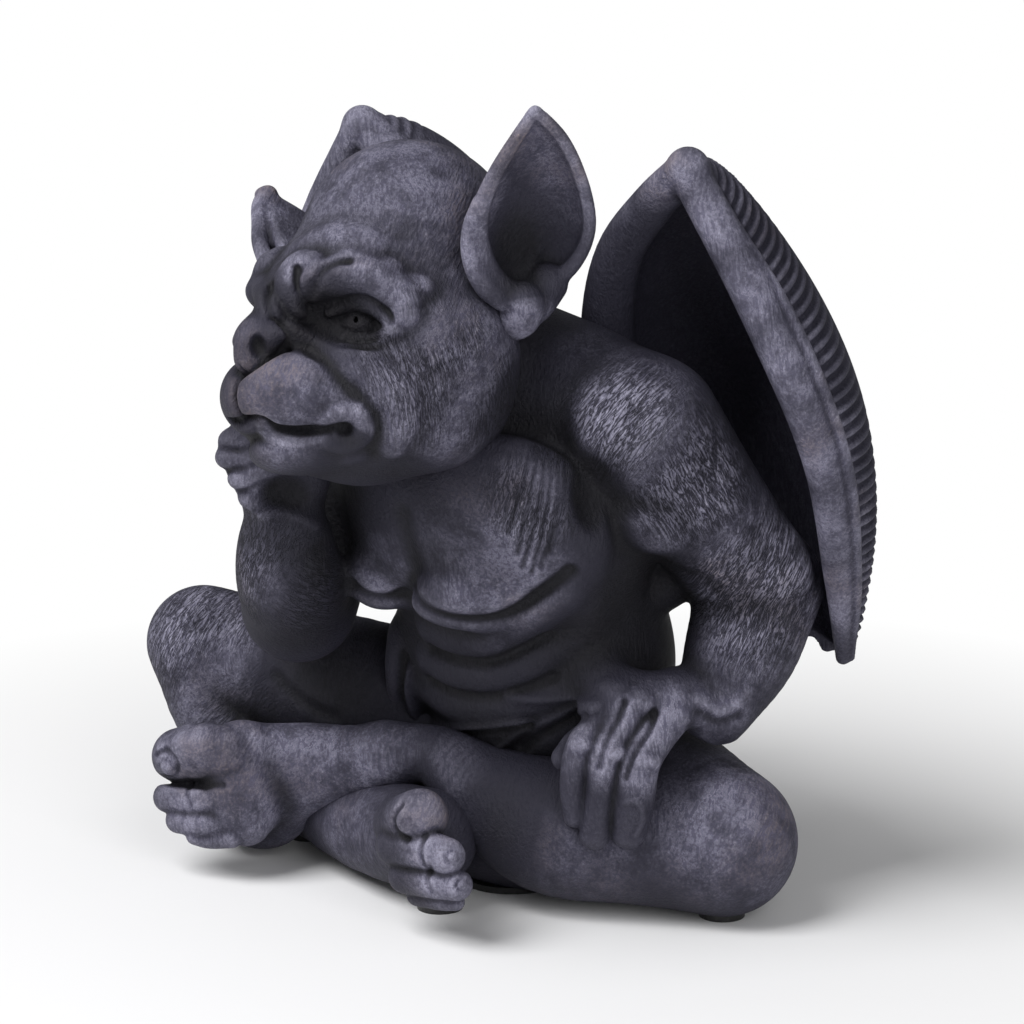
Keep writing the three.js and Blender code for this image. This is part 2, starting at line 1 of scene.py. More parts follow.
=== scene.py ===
"""A seated stone gargoyle figurine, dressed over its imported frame.

The castings are modelled as clay: rounded lumps, limbs and skins are blended into one
body, creases and ridges are drawn on it, and its surface is meshed. Sizes are in
millimetres in the frame's own axes: it faces -Y, its left is +X, and +Z is up.
"""
import logging
import math
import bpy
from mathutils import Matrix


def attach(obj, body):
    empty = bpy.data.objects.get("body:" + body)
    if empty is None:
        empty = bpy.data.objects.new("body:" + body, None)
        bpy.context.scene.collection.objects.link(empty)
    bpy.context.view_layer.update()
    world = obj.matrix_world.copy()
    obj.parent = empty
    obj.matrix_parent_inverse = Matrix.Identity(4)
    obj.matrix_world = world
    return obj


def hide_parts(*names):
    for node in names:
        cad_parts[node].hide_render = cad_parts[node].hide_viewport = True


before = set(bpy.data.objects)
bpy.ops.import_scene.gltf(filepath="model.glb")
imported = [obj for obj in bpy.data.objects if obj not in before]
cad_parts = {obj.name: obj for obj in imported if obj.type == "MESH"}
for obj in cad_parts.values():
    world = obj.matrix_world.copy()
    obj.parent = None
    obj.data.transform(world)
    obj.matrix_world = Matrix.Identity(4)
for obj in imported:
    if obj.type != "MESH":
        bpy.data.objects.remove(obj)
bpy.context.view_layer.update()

from concurrent.futures import ThreadPoolExecutor
from dataclasses import dataclass, field, replace
from enum import Enum
from typing import Iterator, Sequence

import bpy
import numpy as np
import openvdb
from mathutils import Matrix, Vector

LOG = logging.getLogger("gargoyle")
MM = 0.001
ROOT = "root"
TRIANGLE_LIMIT = 195_000
TINY = 1e-6

Point = tuple[float, float, float]
Spot = tuple[float, float]
Range = tuple[float, ...]
Array = np.ndarray
Socket = bpy.types.NodeSocket


def rotation(turn: Point) -> Array:
    """Turn degrees about x, then y, then z into a matrix.

    Args:
        turn: The three angles in degrees.

    Returns:
        A 3 by 3 rotation matrix.
    """
    x, y, z = (math.radians(angle) for angle in turn)
    about_x = np.array([[1, 0, 0], [0, math.cos(x), -math.sin(x)], [0, math.sin(x), math.cos(x)]])
    about_y = np.array([[math.cos(y), 0, math.sin(y)], [0, 1, 0], [-math.sin(y), 0, math.cos(y)]])
    about_z = np.array([[math.cos(z), -math.sin(z), 0], [math.sin(z), math.cos(z), 0], [0, 0, 1]])
    return about_z @ about_y @ about_x


def length_of(rows: Array) -> Array:
    """Return the length of each row vector."""
    return np.sqrt(np.einsum("ij,ij->i", rows, rows))


def smooth_path(stations: Array, steps: int) -> Array:
    """Run a smooth curve through stations.

    Args:
        stations: One row a station, with its position first and any radii after it.
        steps: How many stretches the curve has between two stations.

    Returns:
        The finer stations.
    """
    if len(stations) < 3:
        return stations
    ends = np.vstack([2 * stations[0] - stations[1], stations, 2 * stations[-1] - stations[-2]])
    fine = []
    for a, b, c, d in zip(ends[:-3], ends[1:-2], ends[2:-1], ends[3:]):
        for step in range(steps):
            t = step / steps
            fine.append(0.5 * (2 * b + (c - a) * t + (2 * a - 5 * b + 4 * c - d) * t**2
                               + (3 * b - a - 3 * c + d) * t**3))
    fine.append(stations[-1])
    return np.array(fine)


def stretched(places: Array, direction: Point, gain: float) -> Array:
    """Stretch places along a direction, by the given share of their run along it."""
    normal = np.float32(direction) / np.float32(np.linalg.norm(direction))
    return places + np.float32(gain) * (places @ normal)[:, None] * normal


def distance_from(stations: Array, points: Array) -> Array:
    """Measure how far points are from a chain of stations.

    Args:
        stations: One row a station, with its position and its radius.
        points: One row a point.

    Returns:
        The distance of each point from the nearest stretch, less the radius there.
    """
    nearest = np.full(len(points), np.inf, np.float32)
    for start, end in zip(stations[:-1], stations[1:]):
        run = end[:3] - start[:3]
        offset = points - start[:3]
        share = np.clip((offset @ run) / max(float(run @ run), TINY), 0, 1)
        own = length_of(offset - share[:, None] * run) - (start[3] + share * (end[3] - start[3]))
        nearest = np.minimum(nearest, own)
    return nearest


def travelled(line: Array) -> Array:
    """Return how far along a line each of its points is."""
    return np.concatenate([[0], np.cumsum(length_of(np.diff(line, axis=0)))])


def arched(start: Array, first: Array, second: Array, end: Array, columns: int) -> Array:
    """Return a curve in each row, from its start to its end, drawn by two handles."""
    t = np.linspace(0, 1, columns)[None, :, None]
    return (1 - t) ** 3 * start + 3 * (1 - t) ** 2 * t * first + 3 * (1 - t) * t**2 * second + t**3 * end


def turn_of(axes: Array) -> Point:
    """Return the angles in degrees about x, y and z that a rotation matrix stands for."""
    return tuple(math.degrees(angle) for angle in Matrix(axes.tolist()).to_euler("XYZ"))


def blended(first: Array, second: Array, reach: float) -> Array:
    """Join two distance fields with a fillet of the given reach."""
    near = np.maximum(reach - np.abs(first - second), 0.0) / reach
    return np.minimum(first, second) - near**3 * reach / 6.0


def softened(values: Array, reach: int) -> Array:
    """Average a grid over its neighbours.

    Args:
        values: The grid.
        reach: How many neighbours each way count.

    Returns:
        The averaged grid.
    """
    for axis in range(3):
        for _ in range(2):
            pads = [(reach + 1, reach) if k == axis else (0, 0) for k in range(3)]
            summed = np.cumsum(np.pad(values, pads, mode="edge"), axis=axis, dtype=np.float64)
            count = values.shape[axis]
            high = np.take(summed, np.arange(2 * reach + 1, 2 * reach + 1 + count), axis=axis)
            low = np.take(summed, np.arange(count), axis=axis)
            values = ((high - low) / (2 * reach + 1)).astype(np.float32)
    return values


def sampled(values: Array, places: Array) -> Array:
    """Read a grid at places between its values."""
    base = np.clip(np.floor(places).astype(int), 0, np.array(values.shape) - 2)
    share = places - base
    result = np.zeros(len(places), np.float32)
    for corner in np.ndindex(2, 2, 2):
        weight = np.prod(np.where(corner, share, 1 - share), axis=1)
        x, y, z = (base + corner).T
        result += weight.astype(np.float32) * values[x, y, z]
    return result


class Act(Enum):
    """What a piece of clay does to the body so far."""

    ADD = "add"
    CARVE = "carve"
    DRAW = "draw"


@dataclass(frozen=True)
class Clay:
    """One step of the modelling, in millimetres."""

    blend: float = field(default=3.0, kw_only=True)
    act: Act = field(default=Act.ADD, kw_only=True)

    def distance(self, points: Array) -> Array:
        """Return the signed distance of each point from this clay."""
        raise NotImplementedError

    def box(self) -> tuple[Array, Array]:
        """Return the lowest and highest corners of this clay."""
        raise NotImplementedError

    def reach(self) -> float:
        """Return how far from itself this step changes the body."""
        return self.blend

    def worked_into(self, body: Array | None, points: Array) -> Array | None:
        """Work this step into the body.

        Args:
            body: The body's distance field so far, or None where there is none yet.
            points: The places that the field's values belong to.

        Returns:
            The body's new distance field.
        """
        if body is None:
            return self.distance(points) if self.act is Act.ADD else None
        own = self.distance(points)
        if self.act is Act.ADD:
            return blended(body, own, self.blend)
        return -blended(-body, own, self.blend)


@dataclass(frozen=True)
class Lump(Clay):
    """An ellipsoid of the given radii."""

    at: Point
    radii: Point
    turn: Point = (0, 0, 0)

    def distance(self, points: Array) -> Array:
        """Return the signed distance of each point from the ellipsoid."""
        own = (points - np.float32(self.at)) @ rotation(self.turn).astype(np.float32)
        scaled = own / np.float32(self.radii)
        ratio = length_of(scaled)
        slope = length_of(scaled / np.float32(self.radii))
        return ratio * (ratio - 1.0) / np.maximum(slope, TINY)

    def box(self) -> tuple[Array, Array]:
        """Return the lowest and highest corners of the ellipsoid."""
        half = np.abs(rotation(self.turn)) @ np.array(self.radii)
        return np.array(self.at) - half, np.array(self.at) + half


@dataclass(frozen=True)
class Limb(Clay):
    """A round or flattened limb along a smooth path, with a radius at each station."""

    path: Sequence[Point] | Array
    radii: Sequence[float]
    flat: float = 1.0
    across: Point = (0, 0, 1)
    steps: int = 6

    def stations(self) -> Array:
        """Return the limb's finer stations with their radii."""
        return smooth_path(np.column_stack([self.path, self.radii]).astype(float), self.steps)

    def distance(self, points: Array) -> Array:
        """Return the signed distance of each point from the limb."""
        stations = self.stations().astype(np.float32)
        if self.flat != 1.0:
            gain = 1.0 / self.flat - 1.0
            points = stretched(points, self.across, gain)
            stations[:, :3] = stretched(stations[:, :3], self.across, gain)
        return distance_from(stations, points) * min(1.0, self.flat)

    def box(self) -> tuple[Array, Array]:
        """Return the lowest and highest corners of the limb."""
        stations = self.stations()
        return (stations[:, :3] - stations[:, 3:]).min(0), (stations[:, :3] + stations[:, 3:]).max(0)


@dataclass(frozen=True)
class Line(Clay):
    """A line drawn on the skin: a ridge where its lift is above zero, a crease where it is below.

    It works through a depth of skin along its own direction, so that its path need only
    lie near the surface.
    """

    path: Sequence[Point] | Array
    width: float
    lift: float
    along: Point
    depth: float = 5.0
    spread: float = 2.2
    steps: int = 4
    act: Act = field(default=Act.DRAW, kw_only=True)

    def distance(self, points: Array) -> Array:
        """Return the distance of each point from the line, measured across it."""
        squash = self.width / self.depth - 1.0
        path = stretched(np.float32(self.path), self.along, squash)
        stations = smooth_path(np.column_stack([path, np.zeros(len(path))]), self.steps)
        return distance_from(stations.astype(np.float32), stretched(points, self.along, squash))

    def reach(self) -> float:
        """Return how far from itself the line changes the body."""
        return self.spread * self.width

    def box(self) -> tuple[Array, Array]:
        """Return the lowest and highest corners of the line."""
        return np.min(self.path, 0), np.max(self.path, 0)

    def worked_into(self, body: Array | None, points: Array) -> Array | None:
        """Lift or sink the skin along the line."""
        if body is None:
            return None
        return body - self.lift * np.exp(-((self.distance(points) / self.width) ** 2))


@dataclass(frozen=True)
class Skin(Clay):
    """A thin closed shell, given by its own points and four-sided faces."""

    points: Array
    faces: Array

    def box(self) -> tuple[Array, Array]:
        """Return the lowest and highest corners of the shell."""
        return self.points.min(0), self.points.max(0)

    def field(self, low: Array, voxel: float, shape: Sequence[int], band: float) -> Array:
        """Return the shell's distance field on the body's own grid.

        Args:
            low: The grid's lowest corner.
            voxel: The grid's spacing.
            shape: How many values the grid has each way.
            band: The distance past which values are cut off.

        Returns:
            One value a grid point.
        """
        grid_points = ((self.points - low) / voxel).astype(np.float32)
        grid = openvdb.FloatGrid.createLevelSetFromPolygons(
            grid_points, quads=self.faces.astype(np.uint32), halfWidth=band / voxel)
        values = np.full(shape, band / voxel, np.float32)
        grid.copyToArray(values)
        return values * voxel


@dataclass
class Body:
    """A body of clay, and its surface as a mesh.

    Only blocks near the rough surface are worked in full: within rough_slack half blocks.
    """

    steps: Sequence[Clay]
    voxel: float
    block: int = 20
    threads: int = 4
    band_voxels: float = 7.0
    relief_voxels: tuple[int, ...] = (1, 5, 14)
    margin_voxels: float = 3.0
    margin: float = 2.0
    rough_slack: float = 1.7

    def surface(self) -> tuple[Array, Array, Array]:
        """Mesh the body's surface.

        Returns:
            The points in millimetres, the four-sided faces, and the fine, coarse and wide
            relief of each point, which is above zero on ridges and below zero in hollows.
        """
        added = [step.box() for step in self.steps if step.act is Act.ADD]
        margin = self.margin_voxels * self.voxel + self.margin
        low = np.min([box[0] for box in added], 0) - margin
        high = np.max([box[1] for box in added], 0) + margin
        blocks = np.ceil((high - low) / self.voxel / self.block).astype(int)
        band = self.band_voxels * self.voxel
        values = self.filled(low, blocks, band)
        grid = openvdb.FloatGrid(band)
        grid.copyFromArray(values)
        points, quads = grid.convertToQuads(0.0)
        relief = [sampled(softened(values, reach), points) / self.voxel for reach in self.relief_voxels]
        return (points * self.voxel + low).astype(np.float32), quads, np.stack(relief, -1)

    def filled(self, low: Array, blocks: Array, band: float) -> Array:
        """Work every step into a grid, block by block, near the surface only.

        Args:
            low: The grid's lowest corner.
            blocks: How many blocks the grid has each way.
            band: The distance past which values are cut off.

        Returns:
            The body's distance field.
        """
        side = self.block * self.voxel
        half = side * math.sqrt(3) / 2
        shape = blocks * self.block
        index = np.stack(np.meshgrid(*[np.arange(n) for n in blocks], indexing="ij"), -1).reshape(-1, 3)
        centres = (low + (index + 0.5) * side).astype(np.float32)
        skins = {k: step.field(low, self.voxel, shape, band + step.blend)
                 for k, step in enumerate(self.steps) if isinstance(step, Skin)}
        near = np.ones((len(self.steps), len(index)), bool)
        rough = None
        for k, step in enumerate(self.steps):
            if k in skins:
                continue
            own = step.distance(centres)
            near[k] = own < half + step.reach() + band
            if step.act is not Act.DRAW:
                rough = step.worked_into(rough, centres)
        reach = self.rough_slack * half + band
        active = np.ones(len(index), bool) if rough is None else np.abs(rough) < reach
        grain = np.stack(np.meshgrid(*[np.arange(self.block)] * 3, indexing="ij"), -1)
        local = (grain.reshape(-1, 3) * self.voxel).astype(np.float32)
        values = np.full(shape, band, np.float32)

        def work(number: int) -> None:
            """Fill one block of the grid."""
            corner = index[number] * self.block
            part = tuple(slice(c, c + self.block) for c in corner)
            has_skin = any(values_of[part].min() < band for values_of in skins.values())
            if not active[number] and not has_skin:
                values[part] = -band if rough[number] < 0 else band
                return
            points = local + (low + corner * self.voxel).astype(np.float32)
            body = None
            for k, step in enumerate(self.steps):
                if k in skins:
                    own = skins[k][part].reshape(-1)
                    body = own if body is None else blended(body, own, step.blend)
                elif near[k, number]:
                    body = step.worked_into(body, points)
            if body is None:
                values[part] = band if rough is None or rough[number] > 0 else -band
            else:
                values[part] = np.clip(body, -band, band).reshape((self.block,) * 3)

        with ThreadPoolExecutor(self.threads) as pool:
            list(pool.map(work, range(len(index))))
        return values


@dataclass(frozen=True)
class Sight:
    """The photograph's camera, which turns a spot in the picture into a line of sight.

    A spot is counted in pixels from the picture's top left corner.
    """

    aim: Point = (0, 0, 92)
    azimuth: float = 40.0
    elevation: float = 14.0
    distance: float = 1000.0
    focal_length: float = 4180.0
    picture: float = 1024.0
    nearest: float = 870.0
    farthest: float = 1150.0

    def axes(self) -> Array:
        """Return the picture's right, up and backward directions, one a row."""
        azimuth, elevation = math.radians(self.azimuth), math.radians(self.elevation)
        back = np.array([math.sin(azimuth) * math.cos(elevation), -math.cos(azimuth) * math.cos(elevation),
                         math.sin(elevation)])
        right = np.array([math.cos(azimuth), math.sin(azimuth), 0])
        return np.array([right, np.cross(back, right), back])

    def eye(self) -> Array:
        """Return where the camera stands."""
        return np.array(self.aim) + self.distance * self.axes()[2]

    def rays(self, spots: Sequence[Spot]) -> Array:
        """Return the direction of sight through each spot, one a row."""
        offset = (np.array(spots, float) - self.picture / 2) / self.focal_length
        right, up, back = self.axes()
        rays = offset[:, :1] * right - offset[:, 1:] * up - back
        return rays / np.linalg.norm(rays, axis=1, keepdims=True)

    def place(self, spot: Spot, near: float) -> Point:
        """Return the place behind a spot that is the given distance nearer than the aim."""
        ray = self.rays([spot])[0]
        run = (self.distance - near) / -float(ray @ self.axes()[2])
        return tuple(self.eye() + run * ray)

    def places(self, path: Sequence[Point]) -> tuple[Point, ...]:
        """Return the places behind spots, each given as across, down and how near it stands."""
        return tuple(self.place(spot[:2], spot[2]) for spot in path)


SIGHT = Sight()


@dataclass(frozen=True)
class Mirror:
    """A plane that forms are mirrored through: the y-z plane, turned and moved to its centre."""

    centre: Point = (0, 0, 0)
    turn: Point = (0, 0, 0)

    def flip(self) -> Array:
        """Return the matrix that mirrors a direction."""
        normal = rotation(self.turn)[:, 0]
        return np.eye(3) - 2 * np.outer(normal, normal)

    def over(self, places: Array) -> Array:
        """Return places mirrored through the plane."""
        return (places - np.array(self.centre)) @ self.flip() + np.array(self.centre)


FACE = Mirror((-8, -31, 145), (0, -15, -10))


@dataclass(frozen=True)
class Detail:
    """Something worked into the skin, at spots where the photograph shows it."""

    name: str
    path: tuple[Spot, ...]
    both: bool = field(default=False, kw_only=True)

    def step(self, places: Array, normals: Array) -> Clay:
        """Return the clay step for this detail.

        Args:
            places: Where the lines of sight through the path meet the skin.
            normals: The skin's outward directions there.
        """
        raise NotImplementedError


@dataclass(frozen=True)
class Stroke(Detail):
    """A ridge (lift above zero) or a crease (lift below zero)."""

    width: float
    lift: float

    def step(self, places: Array, normals: Array) -> Clay:
        """Return the line along the skin."""
        along = normals.mean(0)
        return Line(places, self.width, self.lift, tuple(along / np.linalg.norm(along)))


@dataclass(frozen=True)
class Fold(Detail):
    """A rounded roll of flesh that stands proud of the skin."""

    radii: tuple[float, ...]
    rise: float
    blend: float = 2.5

    def step(self, places: Array, normals: Array) -> Clay:
        """Return the limb along the skin, sunk into it."""
        radii = np.array(self.radii if len(self.radii) > 1 else self.radii * len(places), float)
        centres = places + normals * (self.rise - radii)[:, None]
        return Limb(centres, radii, blend=self.blend)


@dataclass(frozen=True)
class Swelling(Detail):
    """A swelling (rise above zero) or a hollow (rise below zero), with radii across, up and in."""

    radii: Point
    rise: float
    spin: float = 0.0
    blend: float = 3.0

    def step(self, places: Array, normals: Array) -> Clay:
        """Return the lump sunk into the skin, or the hollow cut from it."""
        right, up, back = SIGHT.axes()
        hollow = self.rise < 0
        centre = places[0] + back * (self.rise + (self.radii[2] if hollow else -self.radii[2]))
        turn = turn_of(np.column_stack([right, up, back]) @ rotation((0, 0, self.spin)))
        return Lump(tuple(centre), self.radii, turn, blend=self.blend, act=Act.CARVE if hollow else Act.ADD)


@dataclass(frozen=True)
class Dab:
    """A soft spot of light dry-brushed paint or of painted shade, seen at a spot of the photograph."""

    name: str
    at: Spot
    radius: float
    strength: float


@dataclass(frozen=True)
class Fur:
    """A patch of combed fur, seen at a spot and combed towards another."""

    name: str
    at: Spot
    towards: Spot
    radius: float
    strength: float = 1.0


@dataclass
class Modeller:
    """Works a casting up, step by step.

    To find the skin, a line of sight moves on by a share (stride) of the way that is left,
    until it is within touch. The skin's direction is felt a little way to each side.
    """

    steps: list[Clay] = field(default_factory=list)
    mirror: Mirror | None = None
    tries: int = 48
    stride: float = 0.8
    touch: float = 0.05
    feel: float = 0.6

    def add(self, *steps: Clay) -> None:
        """Add steps as they are."""
        self.steps += steps

    def depth_of(self, points: Array) -> Array:
        """Return the signed distance of each point from the clay so far."""
        body = None
        for step in self.steps:
            if not isinstance(step, Skin):
                body = step.worked_into(body, points)
        return body

    def on_skin(self, spots: Sequence[Spot]) -> tuple[Array, Array]:
        """Find the skin behind spots of the photograph.

        Args:
            spots: The spots.

        Returns:
            The places on the skin, and the skin's outward directions there. A line of
            sight that misses gives the place where it passes nearest.
        """
        rays, eye = SIGHT.rays(spots), SIGHT.eye()
        run = np.full(len(rays), SIGHT.nearest)
        best, nearest = run.copy(), np.full(len(rays), np.inf)
        for _ in range(self.tries):
            depth = self.depth_of((eye + run[:, None] * rays).astype(np.float32))
            closer = (depth < nearest) & (nearest > self.touch)
            best, nearest = np.where(closer, run, best), np.where(closer, depth, nearest)
            onward = np.maximum(self.stride * depth, self.touch)
            run = np.minimum(run + np.where(nearest > self.touch, onward, 0), SIGHT.farthest)
        places = (eye + best[:, None] * rays).astype(np.float32)
        feelers = np.float32(self.feel) * np.eye(3, dtype=np.float32)
        slopes = [self.depth_of(places + step) - self.depth_of(places - step) for step in feelers]
        normals = np.stack(slopes, -1)
        return places, normals / np.maximum(length_of(normals), TINY)[:, None]

    def work(self, *details: Detail) -> None:
        """Work details into the skin, all of them placed on the skin as it stands.

        Args:
            details: The details, in order.
        """
        places, normals = self.on_skin([spot for detail in details for spot in detail.path])
        start = 0
        for detail in details:
            part = slice(start, start + len(detail.path))
            start = part.stop
            self.steps.append(detail.step(places[part], normals[part]))
            if detail.both and self.mirror is not None:
                self.steps.append(self.mirrored(self.steps[-1]))

    def mirrored(self, step: Clay) -> Clay:
        """Return a step mirrored to the other side."""
        flip = self.mirror.flip()
        if isinstance(step, Lump):
            turn = turn_of(flip @ rotation(step.turn) @ np.diag([-1.0, 1.0, 1.0]))
            return replace(step, at=tuple(self.mirror.over(np.array(step.at))), turn=turn)
        path = self.mirror.over(np.array(step.path))
        if isinstance(step, Line):
            return replace(step, path=path, along=tuple(flip @ np.array(step.along)))
        return replace(step, path=path)


@dataclass
class Casting:
    """One cast stone piece of the figurine.

    It is dry-brushed light on its high spots, darkened with painted shade in its hollows and where shade
    falls, and furred where its fur is combed. A piece on side -1 is its pair's mirror image, lowered a
    little. The patch shift keeps the hairs of two patches apart.
    """

    name: str
    stands_for: tuple[str, ...]
    voxel: float
    brushed: tuple[Dab, ...] = ()
    # Painted shade: dark dabs where shade falls, in hollows and under and between parts.
    shade_dabs: tuple[Dab, ...] = ()
    furred: tuple[Fur, ...] = ()
    side: int = 1
    mirror: Mirror = Mirror()
    lower: Point = (0, 0, 0)
    quick_voxel: float = 2.0
    patch_shift: float = 40.0

    def modelled(self) -> Modeller:
        """Return the clay of this casting."""
        raise NotImplementedError

    def rod(self, path: tuple[Point, ...], radii: tuple[float, ...], blend: float = 2.0) -> Limb:
        """Return a limb along spots of the photograph, each with how near it stands."""
        return Limb(SIGHT.places(path), radii, blend=blend)

    def toe(self, path: tuple[Point, ...], radii: tuple[float, ...]) -> Limb:
        """Return a toe along spots, with a sharp crease round it."""
        return self.rod(path, radii, 0.9)

    def build(self) -> bpy.types.Object:
        """Mesh the clay, dress it and hang it on the frame.

        Returns:
            The casting's object, at the origin, in metres.
        """
        coarse = 1.0
        modeller = self.modelled()
        points, faces, relief = Body(modeller.steps, self.voxel * coarse).surface()
        surface_marks = self.marks(modeller, points, relief)
        piece = self.meshed(*self.turned_over(points, faces), surface_marks)
        self.thinned(piece)
        piece.data.shade_smooth()
        piece.data.materials.append(STONE.material())
        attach(piece, ROOT)
        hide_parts(*self.stands_for)
        LOG.info("%s: %d vertices, %d faces", self.name, len(piece.data.vertices), len(piece.data.polygons))
        return piece

    def marks(self, modeller: Modeller, points: Array, relief: Array) -> dict[str, Array]:
        """Work out what the finish needs to know at each point.

        Args:
            modeller: The casting's clay.
            points: The surface's points in millimetres.
            relief: The fine, coarse and wide relief at each point.

        Returns:
            One or three numbers a point under each attribute's name.
        """
        paint = np.zeros(len(points), np.float32)
        for coat in self.coats(self.brushed, modeller, points):
            paint = np.maximum(paint, coat)
        # Painted shade: the shade dabs lower the value where shade falls.
        for coat in self.coats(self.shade_dabs, modeller, points):
            paint -= coat
        strand = self.combed(modeller, points)
        # The brushed attribute holds the dry-brushed dabs above zero and painted shade below zero.
        return {"relief": relief.astype(np.float32), "strand": strand, "brushed": paint}

    def coats(self, dabs: tuple[Dab, ...], modeller: Modeller, points: Array) -> Iterator[Array]:
        """Yield how strongly each dab colours each point."""
        places = modeller.on_skin([dab.at for dab in dabs])[0] if dabs else ()
        for place, dab in zip(places, dabs):
            yield dab.strength * np.exp(-((length_of(points - place) / dab.radius) ** 2))

    def combed(self, modeller: Modeller, points: Array) -> Array:
        """Comb the fur.

        Args:
            modeller: The casting's clay.
            points: The surface's points in millimetres.

        Returns:
            How far across and along its patch each point lies, and how strong the fur is there.
        """
        strand = np.zeros((len(points), 3), np.float32)
        if not self.furred:
            return strand
        second = np.zeros(len(points), np.float32)
        places, normals = modeller.on_skin([spot for fur in self.furred for spot in (fur.at, fur.towards)])
        for k, fur in enumerate(self.furred):
            root, normal = places[2 * k], normals[2 * k]
            comb = places[2 * k + 1] - root
            comb -= normal * float(comb @ normal)
            comb /= max(float(np.linalg.norm(comb)), TINY)
            sideways = np.cross(normal, comb)
            offset = points - root
            weight = fur.strength * np.exp(-((length_of(offset) / fur.radius) ** 4))
            second = np.maximum(second, np.minimum(weight, strand[:, 2]))
            own = np.stack([offset @ sideways + self.patch_shift * k, offset @ comb, weight], -1)
            strand = np.where((weight > strand[:, 2])[:, None], own, strand).astype(np.float32)
        strand[:, 2] -= second
        return strand

    def turned_over(self, points: Array, faces: Array) -> tuple[Array, Array]:
        """Return points and faces as they stand, or mirrored and lowered for a piece on side -1."""
        if self.side > 0:
            return points, faces
        return (self.mirror.over(points) + np.array(self.lower)).astype(np.float32), faces[:, ::-1]

    def meshed(self, points: Array, faces: Array, surface_marks: dict[str, Array]) -> bpy.types.Object:
        """Make an object from points in millimetres and four-sided faces.

        Args:
            points: One row a vertex.
            faces: Four vertex numbers a row.
            surface_marks: One or three numbers a vertex for each attribute.

        Returns:
            The linked object.
        """
        mesh = bpy.data.meshes.new(self.name)
        mesh.vertices.add(len(points))
        mesh.vertices.foreach_set("co", (points * MM).astype(np.float32).ravel())
        mesh.loops.add(faces.size)
        mesh.loops.foreach_set("vertex_index", faces.astype(np.int32).ravel())
        mesh.polygons.add(len(faces))
        mesh.polygons.foreach_set("loop_start", np.arange(0, faces.size, 4, dtype=np.int32))
        mesh.update(calc_edges=True)
        mesh.validate()
        for name, values in surface_marks.items():
            kind, holds = ("FLOAT", "value") if values.ndim == 1 else ("FLOAT_VECTOR", "vector")
            mesh.attributes.new(name, kind, "POINT").data.foreach_set(holds, values.ravel())
        piece = bpy.data.objects.new(self.name, mesh)
        bpy.context.scene.collection.objects.link(piece)
        return piece

    def thinned(self, piece: bpy.types.Object) -> None:
        """Collapse the flattest faces until the piece keeps within the triangle limit."""
        triangles = 2 * len(piece.data.polygons)
        if triangles <= TRIANGLE_LIMIT:
            return
        bpy.ops.object.select_all(action="DESELECT")
        piece.select_set(True)
        bpy.context.view_layer.objects.active = piece
        thinner = piece.modifiers.new("thinner", "DECIMATE")
        thinner.ratio = TRIANGLE_LIMIT / triangles
        bpy.ops.object.modifier_apply(modifier=thinner.name)


class Nodes:
    """A short way to write shader nodes."""

    def __init__(self, material: bpy.types.Material) -> None:
        """Start on a material."""
        material.use_nodes = True
        self.tree = material.node_tree
        self.shader = self.tree.nodes["Principled BSDF"]

    def add(self, kind: str, inputs: dict[str | int, object] | None = None,
            **settings: object) -> bpy.types.Node:
        """Add a node.

        Args:
            kind: The node's type.
            inputs: Values or sockets for its inputs.
            settings: The node's own settings.

        Returns:
            The node.
        """
        node = self.tree.nodes.new(kind)
        for name, value in settings.items():
            setattr(node, name, value)
        for key, value in (inputs or {}).items():
            if isinstance(value, Socket):
                self.tree.links.new(value, node.inputs[key])
            else:
                node.inputs[key].default_value = value
        return node

    def maths(self, operation: str, *values: object, clamp: bool = False) -> Socket:
        """Return the result of a maths node."""
        node = self.add("ShaderNodeMath", dict(enumerate(values)), operation=operation, use_clamp=clamp)
        return node.outputs[0]

    def chained(self, operation: str, values: Sequence[object]) -> Socket:
        """Return what one operation makes of the values, taken in order."""
        result = values[0]
        for value in values[1:]:
            result = self.maths(operation, result, value)
        return result

    def product(self, *values: object) -> Socket:
        """Return the values multiplied in order."""
        return self.chained("MULTIPLY", values)

    def total(self, *values: object) -> Socket:
        """Return the values added up in order."""
        return self.chained("ADD", values)

    def from_middle(self, value: Socket) -> Socket:
        """Return how far a value is from a half."""
        return self.maths("ABSOLUTE", self.maths("SUBTRACT", value, 0.5))

    def ramp(self, value: object, low: float, high: float, start: float = 0.0, end: float = 1.0
             ) -> Socket:
        """Return a value mapped from one range to another and held at its ends."""
        node = self.add("ShaderNodeMapRange", {0: value, 1: low, 2: high, 3: start, 4: end})
        return node.outputs[0]

    def mixed(self, share: object, first: object, second: object) -> Socket:
        """Return a mix of two colours."""
        return self.add("ShaderNodeMix", {0: share, 6: first, 7: second}, data_type="RGBA").outputs[2]

    def noise(self, place: Socket, scale: float, detail: float, roughness: float = 0.6,
              twist: float = 0.0) -> Socket:
        """Return noise with the given number of grains a metre."""
        node = self.add("ShaderNodeTexNoise", {"Vector": place, "Scale": scale, "Detail": detail,
                                               "Roughness": roughness, "Distortion": twist})
        return node.outputs["Fac"]


